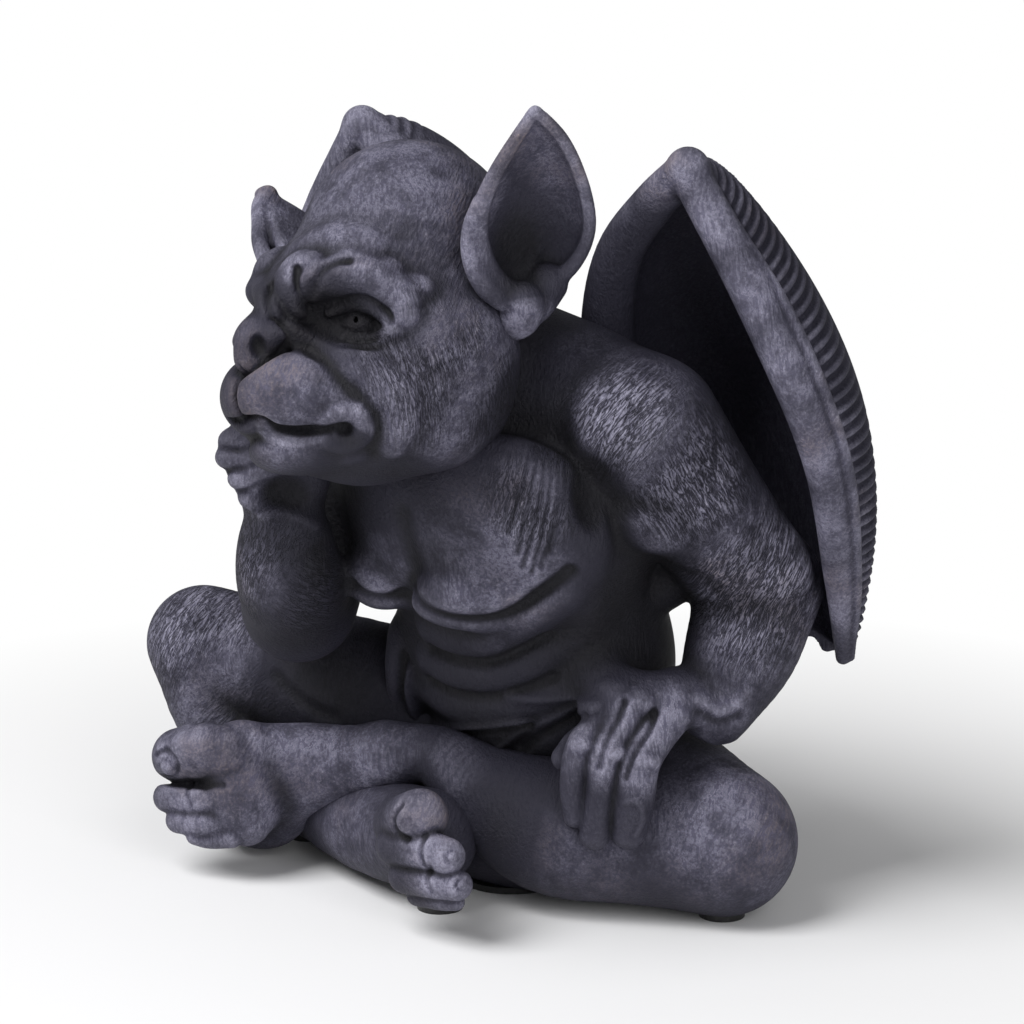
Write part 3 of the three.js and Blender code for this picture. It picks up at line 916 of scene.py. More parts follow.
@dataclass(frozen=True)
class StoneFinish:
    """Dark cast stone, darkened to near black in its hollows by painted shade, partly a dark paint wash, and
    dry-brushed pale on its high spots.

    Each range gives the low and the high end of what it looks at, and then the mask's
    value at each end where that isn't 0 and 1. Scales are in grains a metre.
    """

    # Painted shade: hollow is the near-black that creases, broad hollows and the shade dabs darken to, partly
    # a dark paint wash.
    hollow: Point = (0.005, 0.0047, 0.0078)
    body: Point = (0.0162, 0.0153, 0.0272)
    dusted: Point = (0.096, 0.0915, 0.14)
    worn: Point = (0.36, 0.35, 0.445)
    warm: Point = (0.23, 0.185, 0.18)
    roughness: float = 0.66
    shine: float = 0.3
    grain: float = 1500.0
    mottle: float = 110.0
    cloud: float = 30.0
    hair_stretch: Point = (1.35, 0.22, 0.0)
    upright: tuple[Point, Point] = ((8, 12, 0), (1300, 1300, 260))
    leaning: tuple[Point, Point] = ((55, 20, 30), (1250, 1250, 280))
    lean_range: Range = (0.45, 0.55)
    hair_range: Range = (0.004, 0.06)
    dust_brushed: Range = (0.04, 0.8)
    dust_mottle: Range = (0.36, 0.63, 0.3, 1.3)
    dust_bulge: Range = (0.8, 4.5, 0.0, 0.16)
    dust_grain: Range = (0.34, 0.56, 0.72, 1.1)
    # Painted shade: these ranges of relief and of the shade dabs darken the body towards the hollow colour.
    shade_from_coarse: Range = (-1.1, 0.3)
    shade_from_wide: Range = (-2.2, 1.0, 0.2, 1.0)
    shade_from_dabs: Range = (-0.7, 0.0, 0.1, 1.0)
    cover_coarse: Range = (-0.9, 0.5)
    cover_hair: Range = (0.0, 1.0, 0.25, 1.0)
    cover_fine: Range = (-0.26, 0.04, 0.35, 1.0)
    streak_range: Range = (0.46, 0.72)
    streak_grain: Range = (0.36, 0.62, 0.25, 1.0)
    tuft_range: Range = (0.05, 0.2, 0.0, 0.8)
    ridge_range: Range = (0.02, 0.24, 0.0, 0.55)
    thread_range: Range = (0.0, 0.03, 0.7, 0.0)
    thread_mottle: Range = (0.42, 0.6)
    mark_range: Range = (0.05, 1.0, 0.03, 0.75)
    warm_range: Range = (0.54, 0.66)
    heights: tuple[float, ...] = (0.3, 0.8, 0.7, 1.3)
    bump_depth: float = 0.0009
    bump_strength: float = 0.9

    def material(self) -> bpy.types.Material:
        """Return the stone material, made once."""
        made = bpy.data.materials.get("dark_stone")
        return made if made else self.mixed()

    def streaks(self, nodes: Nodes, place: Socket, turn: Point, scale: Point) -> Socket:
        """Return brush marks that run one way.

        Args:
            nodes: The material's nodes.
            place: Where the surface is.
            turn: Which way the marks run, in degrees.
            scale: How many marks there are a metre, each way.
        """
        radians = tuple(math.radians(angle) for angle in turn)
        turned = nodes.add("ShaderNodeMapping", {"Vector": place, "Rotation": radians}, vector_type="POINT")
        drawn_out = nodes.add("ShaderNodeVectorMath", {0: turned.outputs[0], 1: scale}, operation="MULTIPLY")
        return nodes.noise(drawn_out.outputs[0], 1.0, 3.0, 0.62)

    def mixed(self) -> bpy.types.Material:
        """Build the stone's nodes."""
        material = bpy.data.materials.new("dark_stone")
        nodes = Nodes(material)
        ramp, product, total = nodes.ramp, nodes.product, nodes.total
        place = nodes.add("ShaderNodeTexCoord").outputs["Object"]
        relief = nodes.add("ShaderNodeAttribute", attribute_name="relief").outputs["Vector"]
        strand = nodes.add("ShaderNodeAttribute", attribute_name="strand").outputs["Vector"]
        # The brushed attribute is dry-brushed paint above zero and painted shade below zero.
        brushed = nodes.add("ShaderNodeAttribute", attribute_name="brushed").outputs["Fac"]
        fine, coarse, wide = nodes.add("ShaderNodeSeparateXYZ", {0: relief}).outputs
        fur = nodes.add("ShaderNodeSeparateXYZ", {0: strand}).outputs[2]
        combed = nodes.add("ShaderNodeVectorMath", {0: strand, 1: self.hair_stretch}, operation="MULTIPLY")
        groove = nodes.from_middle(nodes.noise(combed.outputs[0], 1.0, 2.5, 0.6, 0.7))
        grain = nodes.noise(place, self.grain, 5.0, 0.72)
        mottle = nodes.noise(place, self.mottle, 6.0, 0.68)
        cloud = nodes.noise(place, self.cloud, 3.0, 0.55)
        upright = self.streaks(nodes, place, *self.upright)
        marks = nodes.mixed(ramp(cloud, *self.lean_range), upright, self.streaks(nodes, place, *self.leaning))
        bald = nodes.maths("SUBTRACT", 1.0, ramp(groove, *self.hair_range))
        furrow = nodes.maths("SUBTRACT", 1.0, product(bald, fur))
        dust = product(ramp(brushed, *self.dust_brushed), ramp(mottle, *self.dust_mottle))
        dust = total(dust, ramp(wide, *self.dust_bulge))
        dust = nodes.maths("MULTIPLY", dust, ramp(grain, *self.dust_grain), clamp=True)
        # Painted shade: the share of body colour left where creases and broad hollows (partly a dark paint
        # wash) and the shade dabs darken it.
        unshaded = product(ramp(coarse, *self.shade_from_coarse), ramp(wide, *self.shade_from_wide),
                        ramp(brushed, *self.shade_from_dabs))
        covered = product(dust, ramp(coarse, *self.cover_coarse), ramp(furrow, *self.cover_hair),
                          ramp(fine, *self.cover_fine))
        streak = product(ramp(marks, *self.streak_range), ramp(grain, *self.streak_grain))
        thread = nodes.from_middle(marks)
        scratch = product(ramp(thread, *self.thread_range), ramp(mottle, *self.thread_mottle))
        tuft, ridge = product(fur, ramp(groove, *self.tuft_range)), ramp(fine, *self.ridge_range)
        mark = total(total(streak, scratch), total(tuft, ridge))
        mark = nodes.maths("MULTIPLY", mark, ramp(covered, *self.mark_range), clamp=True)
        tint = nodes.mixed(ramp(cloud, *self.warm_range), (*self.worn, 1), (*self.warm, 1))
        # Painted shade: the hollow colour is mixed in where that share is low.
        colour = nodes.mixed(unshaded, (*self.hollow, 1), (*self.body, 1))
        colour = nodes.mixed(mark, nodes.mixed(covered, colour, (*self.dusted, 1)), tint)
        bumps = zip((grain, mottle, marks, furrow), self.heights)
        height = total(*(product(part, rise) for part, rise in bumps))
        bump = nodes.add("ShaderNodeBump", {"Height": height, "Distance": self.bump_depth,
                                            "Strength": self.bump_strength})
        nodes.tree.links.new(colour, nodes.shader.inputs["Base Color"])
        nodes.tree.links.new(bump.outputs[0], nodes.shader.inputs["Normal"])
        nodes.shader.inputs["Roughness"].default_value = self.roughness
        nodes.shader.inputs["Specular IOR Level"].default_value = self.shine
        return material


STONE = StoneFinish()


@dataclass(frozen=True)
class FittingFinish:
    """An even finish with fine marks, which have a roughness and may have a tone of their own."""

    name: str
    tone: Point
    roughness: tuple[float, float]
    scale: float
    detail: float
    mark_range: Range
    metallic: float = 0.0
    mark_tone: Point | None = None

    def material(self) -> bpy.types.Material:
        """Build the finish's nodes."""
        material = bpy.data.materials.new(self.name)
        nodes = Nodes(material)
        place = nodes.add("ShaderNodeTexCoord").outputs["Object"]
        mark = nodes.ramp(nodes.noise(place, self.scale, self.detail), *self.mark_range)
        nodes.shader.inputs["Base Color"].default_value = (*self.tone, 1)
        nodes.shader.inputs["Metallic"].default_value = self.metallic
        if self.mark_tone:
            colour = nodes.mixed(mark, (*self.tone, 1), (*self.mark_tone, 1))
            nodes.tree.links.new(colour, nodes.shader.inputs["Base Color"])
        nodes.tree.links.new(nodes.ramp(mark, 0.0, 1.0, *self.roughness), nodes.shader.inputs["Roughness"])
        return material


STEEL = FittingFinish("ground_steel", (0.46, 0.47, 0.49), (0.26, 0.44), 2600.0, 2.0, (0.3, 0.7), metallic=1.0)
RUBBER = FittingFinish("black_rubber", (0.012, 0.012, 0.013), (0.3, 0.6), 1400.0, 3.0, (0.5, 0.75),
                       mark_tone=(0.035, 0.034, 0.033))


@dataclass(frozen=True)
class Fittings:
    """The steel pins and the rubber pads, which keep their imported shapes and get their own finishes."""

    pins: tuple[str, ...] = ("neck_dowel", *(f"{side}_{joint}_dowel" for joint in ("arm", "hip", "wing")
                                             for side in ("left", "right")))
    pads: tuple[str, ...] = ("seat_pad", "left_knee_pad", "right_foot_pad", "right_calf_pad")

    def build(self) -> None:
        """Give each pin and each pad its finish."""
        for names, material in ((self.pins, STEEL.material()), (self.pads, RUBBER.material())):
            for name in names:
                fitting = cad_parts[name]
                if not fitting.material_slots:
                    fitting.data.materials.append(material)
                for place in fitting.material_slots:
                    place.material = material
                LOG.info("%s: %s", name, material.name)


@dataclass
class TorsoAndArms(Casting):
    """The seated torso with both arms, the raised fist and the hand on the shin."""

    name: str = "torso_and_arms"
    stands_for: tuple[str, ...] = ("torso", "left_arm", "right_arm")
    voxel: float = 0.55
    lean: float = 16.0
    chest: Point = (2, -5, 92)
    waist: Point = (2, 7, 60)
    pelvis: Point = (-4, 16, 26)
    upper_back: Point = (0, 7, 114)
    left_shoulder: Point = (41, 0, 118)
    left_elbow: Point = (53, 28.5, 77)
    left_wrist: Point = (53, 12, 52)
    right_shoulder: Point = (-34, -9, 117)
    right_elbow: Point = (-42, -30, 68)
    muscles: tuple[Detail, ...] = (
        Swelling("biceps", ((652, 520),), (11, 7.5, 10), 3.5, -20, blend=4),
        Swelling("deltoid", ((636, 425),), (15, 13, 12), 2.5, -25, blend=6),
        Swelling("armpit hollow", ((594, 500),), (5, 9, 7), -5, 10, blend=5),
        Swelling("outer elbow", ((770, 560),), (11, 9, 8), 1.5, -50, blend=5),
        Swelling("left breast", ((482, 590),), (17, 9, 10), 1.4, 8, blend=9),
        Swelling("right breast", ((382, 572),), (9, 9, 8), 1.2, 10, blend=7),
        Fold("first belly roll", ((428, 630), (450, 640), (480, 644), (512, 636), (546, 616), (570, 598)),
            (5.0, 6.2, 6.6, 6.0, 5.0, 4.0), 1.7, 3.5),
        Fold("second belly roll", ((426, 660), (450, 674), (484, 680), (518, 671), (550, 654), (574, 640)),
            (4.6, 5.6, 6.0, 5.6, 4.6, 3.6), 1.5, 3.5),
        Fold("third belly roll", ((420, 688), (448, 706), (486, 712), (525, 705), (562, 692), (590, 684)),
            (4.2, 5.2, 5.4, 4.8, 4.0, 3.2), 1.4, 3.5),
        Fold("outer side fold", ((392, 640), (390, 670), (392, 700)), (6.0,), 1.0, 6),
        Fold("flank fold", ((590, 610), (596, 650), (600, 690)), (6, 7, 6), 1.0, 6),
    )
    creases: tuple[Detail, ...] = (
        Stroke("breastbone", ((402, 515), (408, 545), (412, 575), (406, 600)), 2.8, -0.9),
        Stroke("under the left breast", ((412, 600), (432, 615), (460, 622), (492, 621), (518, 611),
            (545, 592), (568, 574)), 2.2, -2.2),
        Stroke("sharp crease under the left breast", ((420, 611), (460, 624), (492, 623), (518, 613),
            (545, 594)), 0.9, -0.8),
        Stroke("under the right breast", ((352, 588), (368, 598), (388, 600), (404, 596)), 1.8, -1.8),
        Stroke("under the first roll", ((432, 650), (458, 661), (490, 663), (518, 652), (546, 636)), 1.5,
            -1.4),
        Stroke("under the second roll", ((430, 680), (458, 694), (492, 697), (522, 690), (552, 678)), 1.5,
            -1.2),
        Stroke("belly edge", ((409, 668), (406, 688), (412, 706), (424, 719), (440, 726), (470, 726),
            (505, 723), (533, 721)), 1.0, 1.4),
        Stroke("groove beside the belly", ((402, 660), (399, 690), (402, 720)), 1.8, -2.0),
        Stroke("groove under the belly", ((440, 732), (470, 733), (505, 730), (526, 727)), 1.1, -1.6),
        Stroke("groin", ((534, 722), (515, 745), (492, 762)), 1.6, -1.8),
        Stroke("upper hip fold", ((505, 696), (550, 700), (598, 704)), 1.2, 1.0),
        Stroke("lower hip fold", ((500, 748), (530, 728), (560, 716), (595, 706)), 1.3, 1.4),
        Stroke("hip groove", ((520, 750), (550, 730), (585, 716)), 1.3, -1.4),
        Stroke("first breast lock", ((533, 447), (521, 490), (508, 532)), 0.7, -0.45),
        Stroke("second breast lock", ((538, 450), (530, 495), (518, 552)), 0.7, -0.5),
        Stroke("third breast lock", ((545, 450), (540, 500), (523, 566)), 0.7, -0.5),
        Stroke("fourth breast lock", ((551, 455), (548, 505), (532, 572)), 0.7, -0.5),
        Stroke("fifth breast lock", ((558, 460), (556, 510), (541, 567)), 0.7, -0.5),
        Stroke("sixth breast lock", ((566, 465), (563, 505), (550, 552)), 0.8, -0.45),
        Stroke("elbow crease", ((664, 563), (682, 572), (700, 578), (714, 588)), 2.6, -0.9),
    )
    hand_details: tuple[Detail, ...] = (
        Swelling("index knuckle", ((612, 692),), (3.6, 3.2, 3), 0.8, blend=2),
        Swelling("middle knuckle", ((638, 702),), (3.8, 3.4, 3), 0.9, blend=2),
        Swelling("third knuckle", ((672, 716),), (4.2, 3.4, 3), 0.7, blend=2),
        Swelling("index joint", ((581, 746),), (2.9, 2.2, 2.5), 0.6, blend=1.2),
        Swelling("middle joint", ((611, 753),), (3.4, 2.3, 2.5), 0.7, blend=1.2),
        Swelling("third joint", ((645, 762),), (3.8, 2.5, 2.5), 0.6, blend=1.2),
        Stroke("groove beside the index finger", ((625, 702), (618, 720), (606, 742), (599, 766)), 0.9, -1.0),
        Stroke("groove beside the middle finger", ((655, 714), (649, 730), (635, 752), (626, 776)), 0.9,
            -1.0),
        Stroke("third nail", ((624, 803), (634, 800), (642, 808), (643, 822), (636, 836)), 0.6, 0.5),
        Stroke("upper wrist crease", ((700, 700), (716, 709), (734, 705), (746, 694)), 1.8, 0.8),
        Stroke("lower wrist crease", ((704, 736), (718, 746), (734, 744)), 1.8, 0.6),
        Stroke("groove under the upper crease", ((700, 712), (718, 722), (738, 716)), 1.5, -0.7),
        Swelling("first knuckle of the fist", ((235, 441),), (4.2, 3.4, 4), 0.9, blend=2),
        Swelling("second knuckle of the fist", ((232, 457),), (4.2, 3.2, 4), 0.9, blend=2),
        Swelling("third knuckle of the fist", ((242, 478),), (3.6, 3.0, 3.6), 0.8, blend=2),
        Swelling("fourth knuckle of the fist", ((251, 497),), (3.2, 3.0, 3.2), 0.7, blend=2),
        Stroke("first gap of the fist", ((228, 449), (240, 450), (254, 446)), 1.0, -0.7),
        Stroke("second gap of the fist", ((228, 470), (242, 469), (258, 464)), 1.0, -0.65),
        Stroke("third gap of the fist", ((240, 489), (252, 488), (264, 484)), 0.9, -0.6),
        Swelling("palm", ((289, 500),), (8, 6, 7), -3.6, blend=4),
        Stroke("edge of the palm", ((262, 516), (280, 513), (300, 518), (317, 525)), 1.3, 1.1),
    )
    # Painted shade: dark dabs in the armpit, on the flank, under the jaw and biceps, and in the lap, palm and
    # elbows, where shade falls.
    shade_dabs: tuple[Dab, ...] = (
        Dab("armpit", (585, 500), 9, 0.9), Dab("side", (620, 620), 17, 0.9),
        Dab("belly", (470, 720), 14, 0.45), Dab("under the jaw", (540, 440), 10, 0.6),
        Dab("under the biceps", (640, 580), 9, 0.8), Dab("elbow crease", (672, 576), 4, 0.6),
        Dab("lap", (520, 745), 10, 0.7), Dab("right elbow", (300, 640), 11, 0.6),
        Dab("palm", (292, 498), 6, 0.8), Dab("inside of the forearm", (320, 560), 8, 0.8),
        Dab("behind the breast", (350, 500), 8, 0.6),
    )
    brushed: tuple[Dab, ...] = (
        Dab("left breast", (498, 572), 17, 0.9), Dab("right breast", (388, 572), 11, 0.7),
        Dab("above the breast", (540, 508), 13, 0.55), Dab("deltoid", (622, 410), 16, 0.78),
        Dab("shoulder", (600, 355), 11, 0.4), Dab("outer arm", (690, 495), 15, 1.0),
        Dab("biceps", (655, 545), 9, 0.5), Dab("forearm", (765, 582), 19, 1.4),
        Dab("elbow", (740, 640), 13, 0.8), Dab("first roll", (480, 634), 7, 0.4),
        Dab("back of the hand", (650, 712), 11, 1.0), Dab("middle joint", (611, 756), 6, 1.0),
        Dab("third joint", (648, 765), 6, 1.0), Dab("index joint", (583, 748), 5, 0.9),
        Dab("fist", (245, 490), 11, 0.5), Dab("right forearm", (255, 580), 11, 0.42),
        Dab("wrist", (720, 705), 8, 0.8),
    )
    furred: tuple[Fur, ...] = (
        Fur("breast", (535, 500), (520, 560), 11, 0.8), Fur("deltoid", (620, 420), (660, 380), 16),
        Fur("upper arm", (700, 480), (735, 545), 17), Fur("outer forearm", (765, 590), (735, 650), 19),
        Fur("right forearm", (250, 570), (262, 520), 15), Fur("right elbow", (300, 600), (250, 560), 12),
        Fur("armpit", (560, 470), (556, 530), 9, 0.8),
    )

    def modelled(self) -> Modeller:
        """Return the clay of the torso and the arms."""
        modeller = Modeller()
        modeller.add(*self.trunk(), *self.arms(), *self.left_hand(), *self.right_fist())
        modeller.work(*self.muscles)
        modeller.work(*self.creases)
        modeller.work(*self.hand_details)
        return modeller

    def trunk(self) -> list[Clay]:
        """Return the pelvis, belly, rib cage, back, breast and neck."""
        lean = (self.lean, 0, 0)
        return [
            Lump(self.pelvis, (36, 27, 25)),
            Lump((0, 7, 17), (34, 28, 20), blend=6),
            Lump(self.waist, (36.5, 27, 39), lean, blend=8),
            Lump(self.chest, (39, 28, 33), lean, blend=10),
            Lump(self.upper_back, (35, 21, 19), lean, blend=8),
            Lump((2, -1, 124), (46, 20, 18), lean, blend=10),
            Limb((self.upper_back, (-5, -18, 134)), (22, 20), blend=10),
            Lump((19.5, -24.5, 96), (24, 11, 24), (self.lean, 0, 20), blend=8),
            Lump((-14.5, -25, 96), (20, 11, 22), (self.lean, 0, -20), blend=8),
            Lump((-3, -28, 97), (13, 9.5, 22), lean, blend=9),
            Lump(SIGHT.place((668, 586), 7), (4.5, 6, 5.5), blend=6),
        ]

    def arms(self) -> list[Clay]:
        """Return the arm that hangs to the shin and the arm that is raised to the chin."""
        return [
            Limb((self.left_shoulder, (46.6, 13, 99), self.left_elbow), (17.5, 15.5, 14), blend=8),
            Limb((self.left_elbow, (53.5, 21, 64), self.left_wrist), (14.5, 13.5, 9.5), blend=4),
            Limb((self.right_shoulder, (-41, -18, 93), self.right_elbow), (17, 15, 13.5), blend=8),
            Limb((self.right_elbow, *SIGHT.places(((289, 575, 8), (286, 545, 12), (285, 518, 17)))),
                 (13.5, 12.6, 11.4, 8.6), blend=3),
        ]

    def left_hand(self) -> list[Clay]:
        """Return the back of the left hand, its three fingers and its thumb."""
        return [
            Limb((self.left_wrist, (49, 3, 55), (45, -3, 56)), (9, 8, 5.5), blend=3, flat=0.75,
                 across=(0.1, -0.5, 1)),
            Limb(((44, -2, 57), (39.5, -8, 56.5), (36.8, -18, 46.5), (35.8, -20.6, 37), (35.7, -19.6, 28)),
                 (4.0, 3.9, 3.5, 3.1, 2.7), blend=1.2, steps=5),
            Limb(((48, 1, 56), (44, -5, 55.5), (42.3, -15.8, 44.5), (41.6, -17.3, 35), (40, -17.5, 24)),
                 (4.2, 4.2, 4.1, 3.6, 3.7), blend=1.2, steps=5),
            Limb(((53, 4, 53), (50, 0, 52), (48.2, -10.5, 43), (47.6, -12.6, 33), (46.2, -12.5, 25)),
                 (4.8, 4.9, 5.0, 5.0, 4.4), blend=1.2, steps=5),
            Limb(((44, -3, 50), (34, -13, 46), (31, -18, 41)), (4.5, 3.6, 3.0), blend=2),
        ]

    def right_fist(self) -> list[Clay]:
        """Return the curled fist under the chin."""
        return [
            self.rod(((269, 438, 24), (267, 455, 24), (276, 484, 21), (285, 520, 17)),
                     (9.2, 10.2, 9.2, 8.4), 4),
            self.rod(((300, 440, 22), (302, 465, 22), (300, 492, 17)), (7.5, 7.5, 6), 4),
        ]


@dataclass
class Head(Casting):
    """The head with its face, in a frame of its own: x to its left, y to its back, z up."""

    name: str = "head_casting"
    stands_for: tuple[str, ...] = ("head",)
    voxel: float = 0.42
    mirror: Mirror = FACE
    hollows: tuple[Detail, ...] = (
        Swelling("eye socket", ((350, 321),), (10.0, 7.2, 10), -6.5, -12, blend=4, both=True),
        Swelling("inner corner of the eye", ((320, 322),), (8.0, 6.4, 9), -6.0, -20, blend=4, both=True),
        Stroke("furrow beside the muzzle", ((316, 350), (338, 368), (356, 388), (369, 406), (377, 426),
            (373, 450)), 2.8, -2.2, both=True),
    )
    brows: tuple[Detail, ...] = (
        Fold("brow band", ((320, 278), (344, 272), (368, 275), (388, 285), (402, 298), (405, 312)), (3.4,
            5.0, 5.4, 5.4, 4.6, 3.2), 2.8, 3.5, both=True),
        Fold("brow's outer end", ((405, 306), (401, 320), (388, 332)), (3.0, 2.4, 1.8), 1.0, 3, both=True),
        Fold("forehead fold", ((300, 246), (318, 238), (342, 236), (366, 242)), (4.0, 6.0, 6.5, 6.0), 1.2, 4),
        Fold("fold between the brows", ((312, 262), (298, 264), (290, 276), (290, 292), (298, 306)), (2.6,
            3.6, 4.0, 3.6, 2.4), 2.4, 2.5),
        Fold("inner lobe of the fold", ((316, 270), (311, 284), (306, 298), (301, 309)), (2.4, 3.2, 2.8,
            1.8), 2.2, 1.5),
        Fold("right brow", ((276, 256), (264, 264), (260, 280), (265, 300), (272, 312)), (2.8, 3.6, 3.6, 3.0,
            2.4), 1.8, 2),
        Swelling("first brow lump", ((352, 262),), (3.6, 2.6, 2.6), 1.0, blend=2),
        Swelling("second brow lump", ((386, 271),), (3.6, 3.0, 2.6), 1.1, blend=2),
        Swelling("outer brow lump", ((416, 287),), (3.6, 2.6, 2.6), 1.2, blend=3),
        Fold("fold beside the muzzle", ((294, 334), (318, 345), (344, 362), (367, 377), (386, 389),
            (398, 403), (402, 424), (394, 448)), (2.4, 3.2, 4.0, 4.6, 5.0, 5.0, 4.4, 3.0), 1.5, 4,
            both=True),
    )
    nose: tuple[Detail, ...] = (
        Swelling("wing of the nose", ((275, 338),), (3.8, 3.4, 3), 1.3, blend=2, both=True),
        Swelling("nostril", ((258, 347),), (2.0, 3.2, 3), -2.4, 15, blend=1.2, both=True),
        Stroke("groove behind the nose", ((282, 326), (287, 337), (285, 346)), 1.2, -1.6, both=True),
        Stroke("groove under the nose", ((243, 374), (255, 365), (270, 356), (284, 348)), 1.1, -1.6,
            both=True),
    )
    mouth: tuple[Detail, ...] = (
        Stroke("mouth", ((232, 424), (257, 421), (276, 429), (300, 433), (322, 431), (338, 428)), 1.2, -2.8),
        Stroke("lower lip", ((238, 429), (258, 429), (274, 437), (298, 440), (320, 439)), 1.3, 0.8),
        Swelling("corner of the mouth", ((345, 429),), (3.0, 2.4, 4), -3, blend=1.8, both=True),
    )
    eyes: tuple[Detail, ...] = (
        Swelling("eyeball", ((361, 324),), (4.8, 3.6, 5), 2.6, blend=0.8, both=True),
        Fold("upper lid", ((330, 312), (346, 306), (360, 305), (375, 310), (386, 319), (391, 329)), (1.2,
            1.8, 2.0, 1.8, 1.6, 1.2), 1.5, 1.2, both=True),
        Fold("lower lid", ((346, 336), (360, 339), (375, 337), (388, 330)), (1.1,), 1.0, 1.0, both=True),
        Fold("curled rim", ((318, 424), (336, 415), (352, 413), (362, 420), (364, 432), (357, 443),
            (342, 447), (328, 443)), (1.4, 2.0, 2.2, 2.2, 2.2, 2.0, 1.8, 1.4), 1.0, 2, both=True),
    )
    lines: tuple[Detail, ...] = (
        Stroke("recess above the brow band", ((303, 303), (312, 286), (322, 270), (335, 262), (348, 260)),
            1.3, -1.6),
        Stroke("split of the fold", ((296, 268), (295, 281), (299, 292), (304, 301)), 0.8, -1.2),
        Stroke("split of the right brow", ((270, 284), (266, 298), (270, 314)), 0.9, -1.2),
        Stroke("crease over the lid", ((336, 301), (352, 297), (368, 299), (382, 308), (391, 318)), 0.8,
            -0.7, both=True),
        Stroke("rim under the eye", ((290, 327), (314, 341), (342, 352), (368, 355)), 1.6, 0.7, both=True),
        Stroke("wrinkle under the eye", ((342, 345), (362, 347), (382, 342), (396, 332)), 0.9, 0.6,
            both=True),
        Stroke("ring round the mouth's corner", ((360, 406), (371, 420), (372, 438), (364, 453), (350, 460)),
            2.0, 0.7, both=True),
        Swelling("pupil", ((357, 321),), (0.8, 1.1, 1.6), -0.7, blend=0.5, both=True),
    )
    # Painted shade: dark dabs in the eye sockets, beside the nose, in the nostril and mouth, under the jaw,
    # behind the cheek and under the ear.
    shade_dabs: tuple[Dab, ...] = (
        Dab("eye", (352, 318), 7.5, 1.0), Dab("inner corner", (318, 300), 6, 0.9),
        Dab("far eye", (262, 300), 6, 0.8), Dab("beside the nose", (290, 340), 5, 0.7),
        Dab("nostril", (262, 345), 3, 0.7), Dab("under the jaw", (400, 470), 9, 0.5),
        Dab("behind the cheek", (505, 400), 9, 0.9), Dab("under the ear", (478, 292), 4, 0.5),
        Dab("mouth", (350, 437), 4, 0.8),
    )
    brushed: tuple[Dab, ...] = (
        Dab("forehead", (392, 188), 25, 1.1), Dab("temple", (450, 240), 13, 0.75),
        Dab("cheek", (450, 372), 20, 1.25), Dab("brow band", (375, 268), 9, 0.85),
        Dab("outer brow", (415, 292), 8, 0.9), Dab("fold between the brows", (300, 268), 8, 0.8),
        Dab("nose", (252, 322), 6, 0.6), Dab("upper lip", (285, 380), 12, 0.75),
        Dab("muzzle", (330, 400), 10, 0.6), Dab("muzzle fold", (390, 405), 9, 0.9),
        Dab("curled rim", (360, 420), 5, 0.8), Dab("jaw", (455, 430), 13, 0.8),
        Dab("chin", (275, 447), 7, 0.5), Dab("near the lobe", (480, 330), 9, 0.6),
    )
    furred: tuple[Fur, ...] = (
        Fur("cheek", (440, 370), (448, 410), 17, 0.7), Fur("jaw", (490, 400), (486, 440), 13, 0.7),
        Fur("upper cheek", (430, 320), (440, 350), 9, 0.6),
    )

    def world(self, x: float, y: float, z: float) -> Point:
        """Return a place on the head in the figurine's frame."""
        return tuple(np.array(self.mirror.centre) + rotation(self.mirror.turn) @ np.array([x, y, z], float))

    def lump(self, at: Point, radii: Point, spin: float = 0.0, **more: object) -> Lump:
        """Return a lump on the head, spun about the head's own upright axis."""
        turn = turn_of(rotation(self.mirror.turn) @ rotation((0, 0, spin)))
        return Lump(self.world(*at), radii, turn, **more)

    def limb(self, path: Sequence[Point], radii: Sequence[float], **more: object) -> Limb:
        """Return a limb on the head."""
        return Limb(tuple(self.world(*place) for place in path), radii, **more)

    def modelled(self) -> Modeller:
        """Return the clay of the head."""
        modeller = Modeller(mirror=self.mirror)
        modeller.add(*self.skull(), *self.muzzle())
        modeller.work(*self.hollows)
        modeller.work(*self.brows, *self.nose, *self.mouth)
        modeller.work(*self.eyes, *self.lines)
        return modeller

    def skull(self) -> list[Clay]:
        """Return the skull, the face behind the muzzle and the cheeks."""
        return [
            self.lump((0.5, 5.5, 14), (24, 26, 25)),
            self.lump((0, -12, 2), (23, 24, 20), blend=10),
            self.lump((0, -4, -6), (25, 25, 22), blend=10),
            self.lump((16, -2, -12), (15, 19, 19), blend=8),
            self.lump((-16, -2, -12), (15, 19, 19), blend=8),
            self.lump((9, -18, -19), (18, 22, 16), blend=8),
            self.lump((-9, -18, -19), (18, 22, 16), blend=8),
            self.lump((0, -14, -26), (17, 17, 13), blend=6),
            self.lump((12, -4, -23), (15, 18, 15), blend=8),
            self.lump((-12, -4, -23), (15, 18, 15), blend=8),
        ]

    def muzzle(self) -> list[Clay]:
        """Return the nose, the puffed upper lip and the chin."""
        return [
            self.lump((0, -28, -20), (15, 16, 13), blend=6),
            self.lump((8.5, -37, -14.5), (8.5, 16, 9.5), -38, blend=2.5),
            self.lump((-8.5, -37, -14.5), (8.5, 16, 9.5), 38, blend=1.0),
            self.lump((0, -39, -2.0), (7.5, 7.5, 6.0), blend=2.0),
            self.lump((0, -43, -6.0), (4.5, 4.8, 6.5), blend=2.5),
            self.limb(((0, -30, 7), (0, -38, -1)), (6, 5.5), blend=4),
            self.lump((0, -33, -27), (13, 13, 6.5), blend=4),
            self.lump((0, -50, -13), (0.8, 5.5, 7.5), blend=1.4, act=Act.CARVE),
        ]


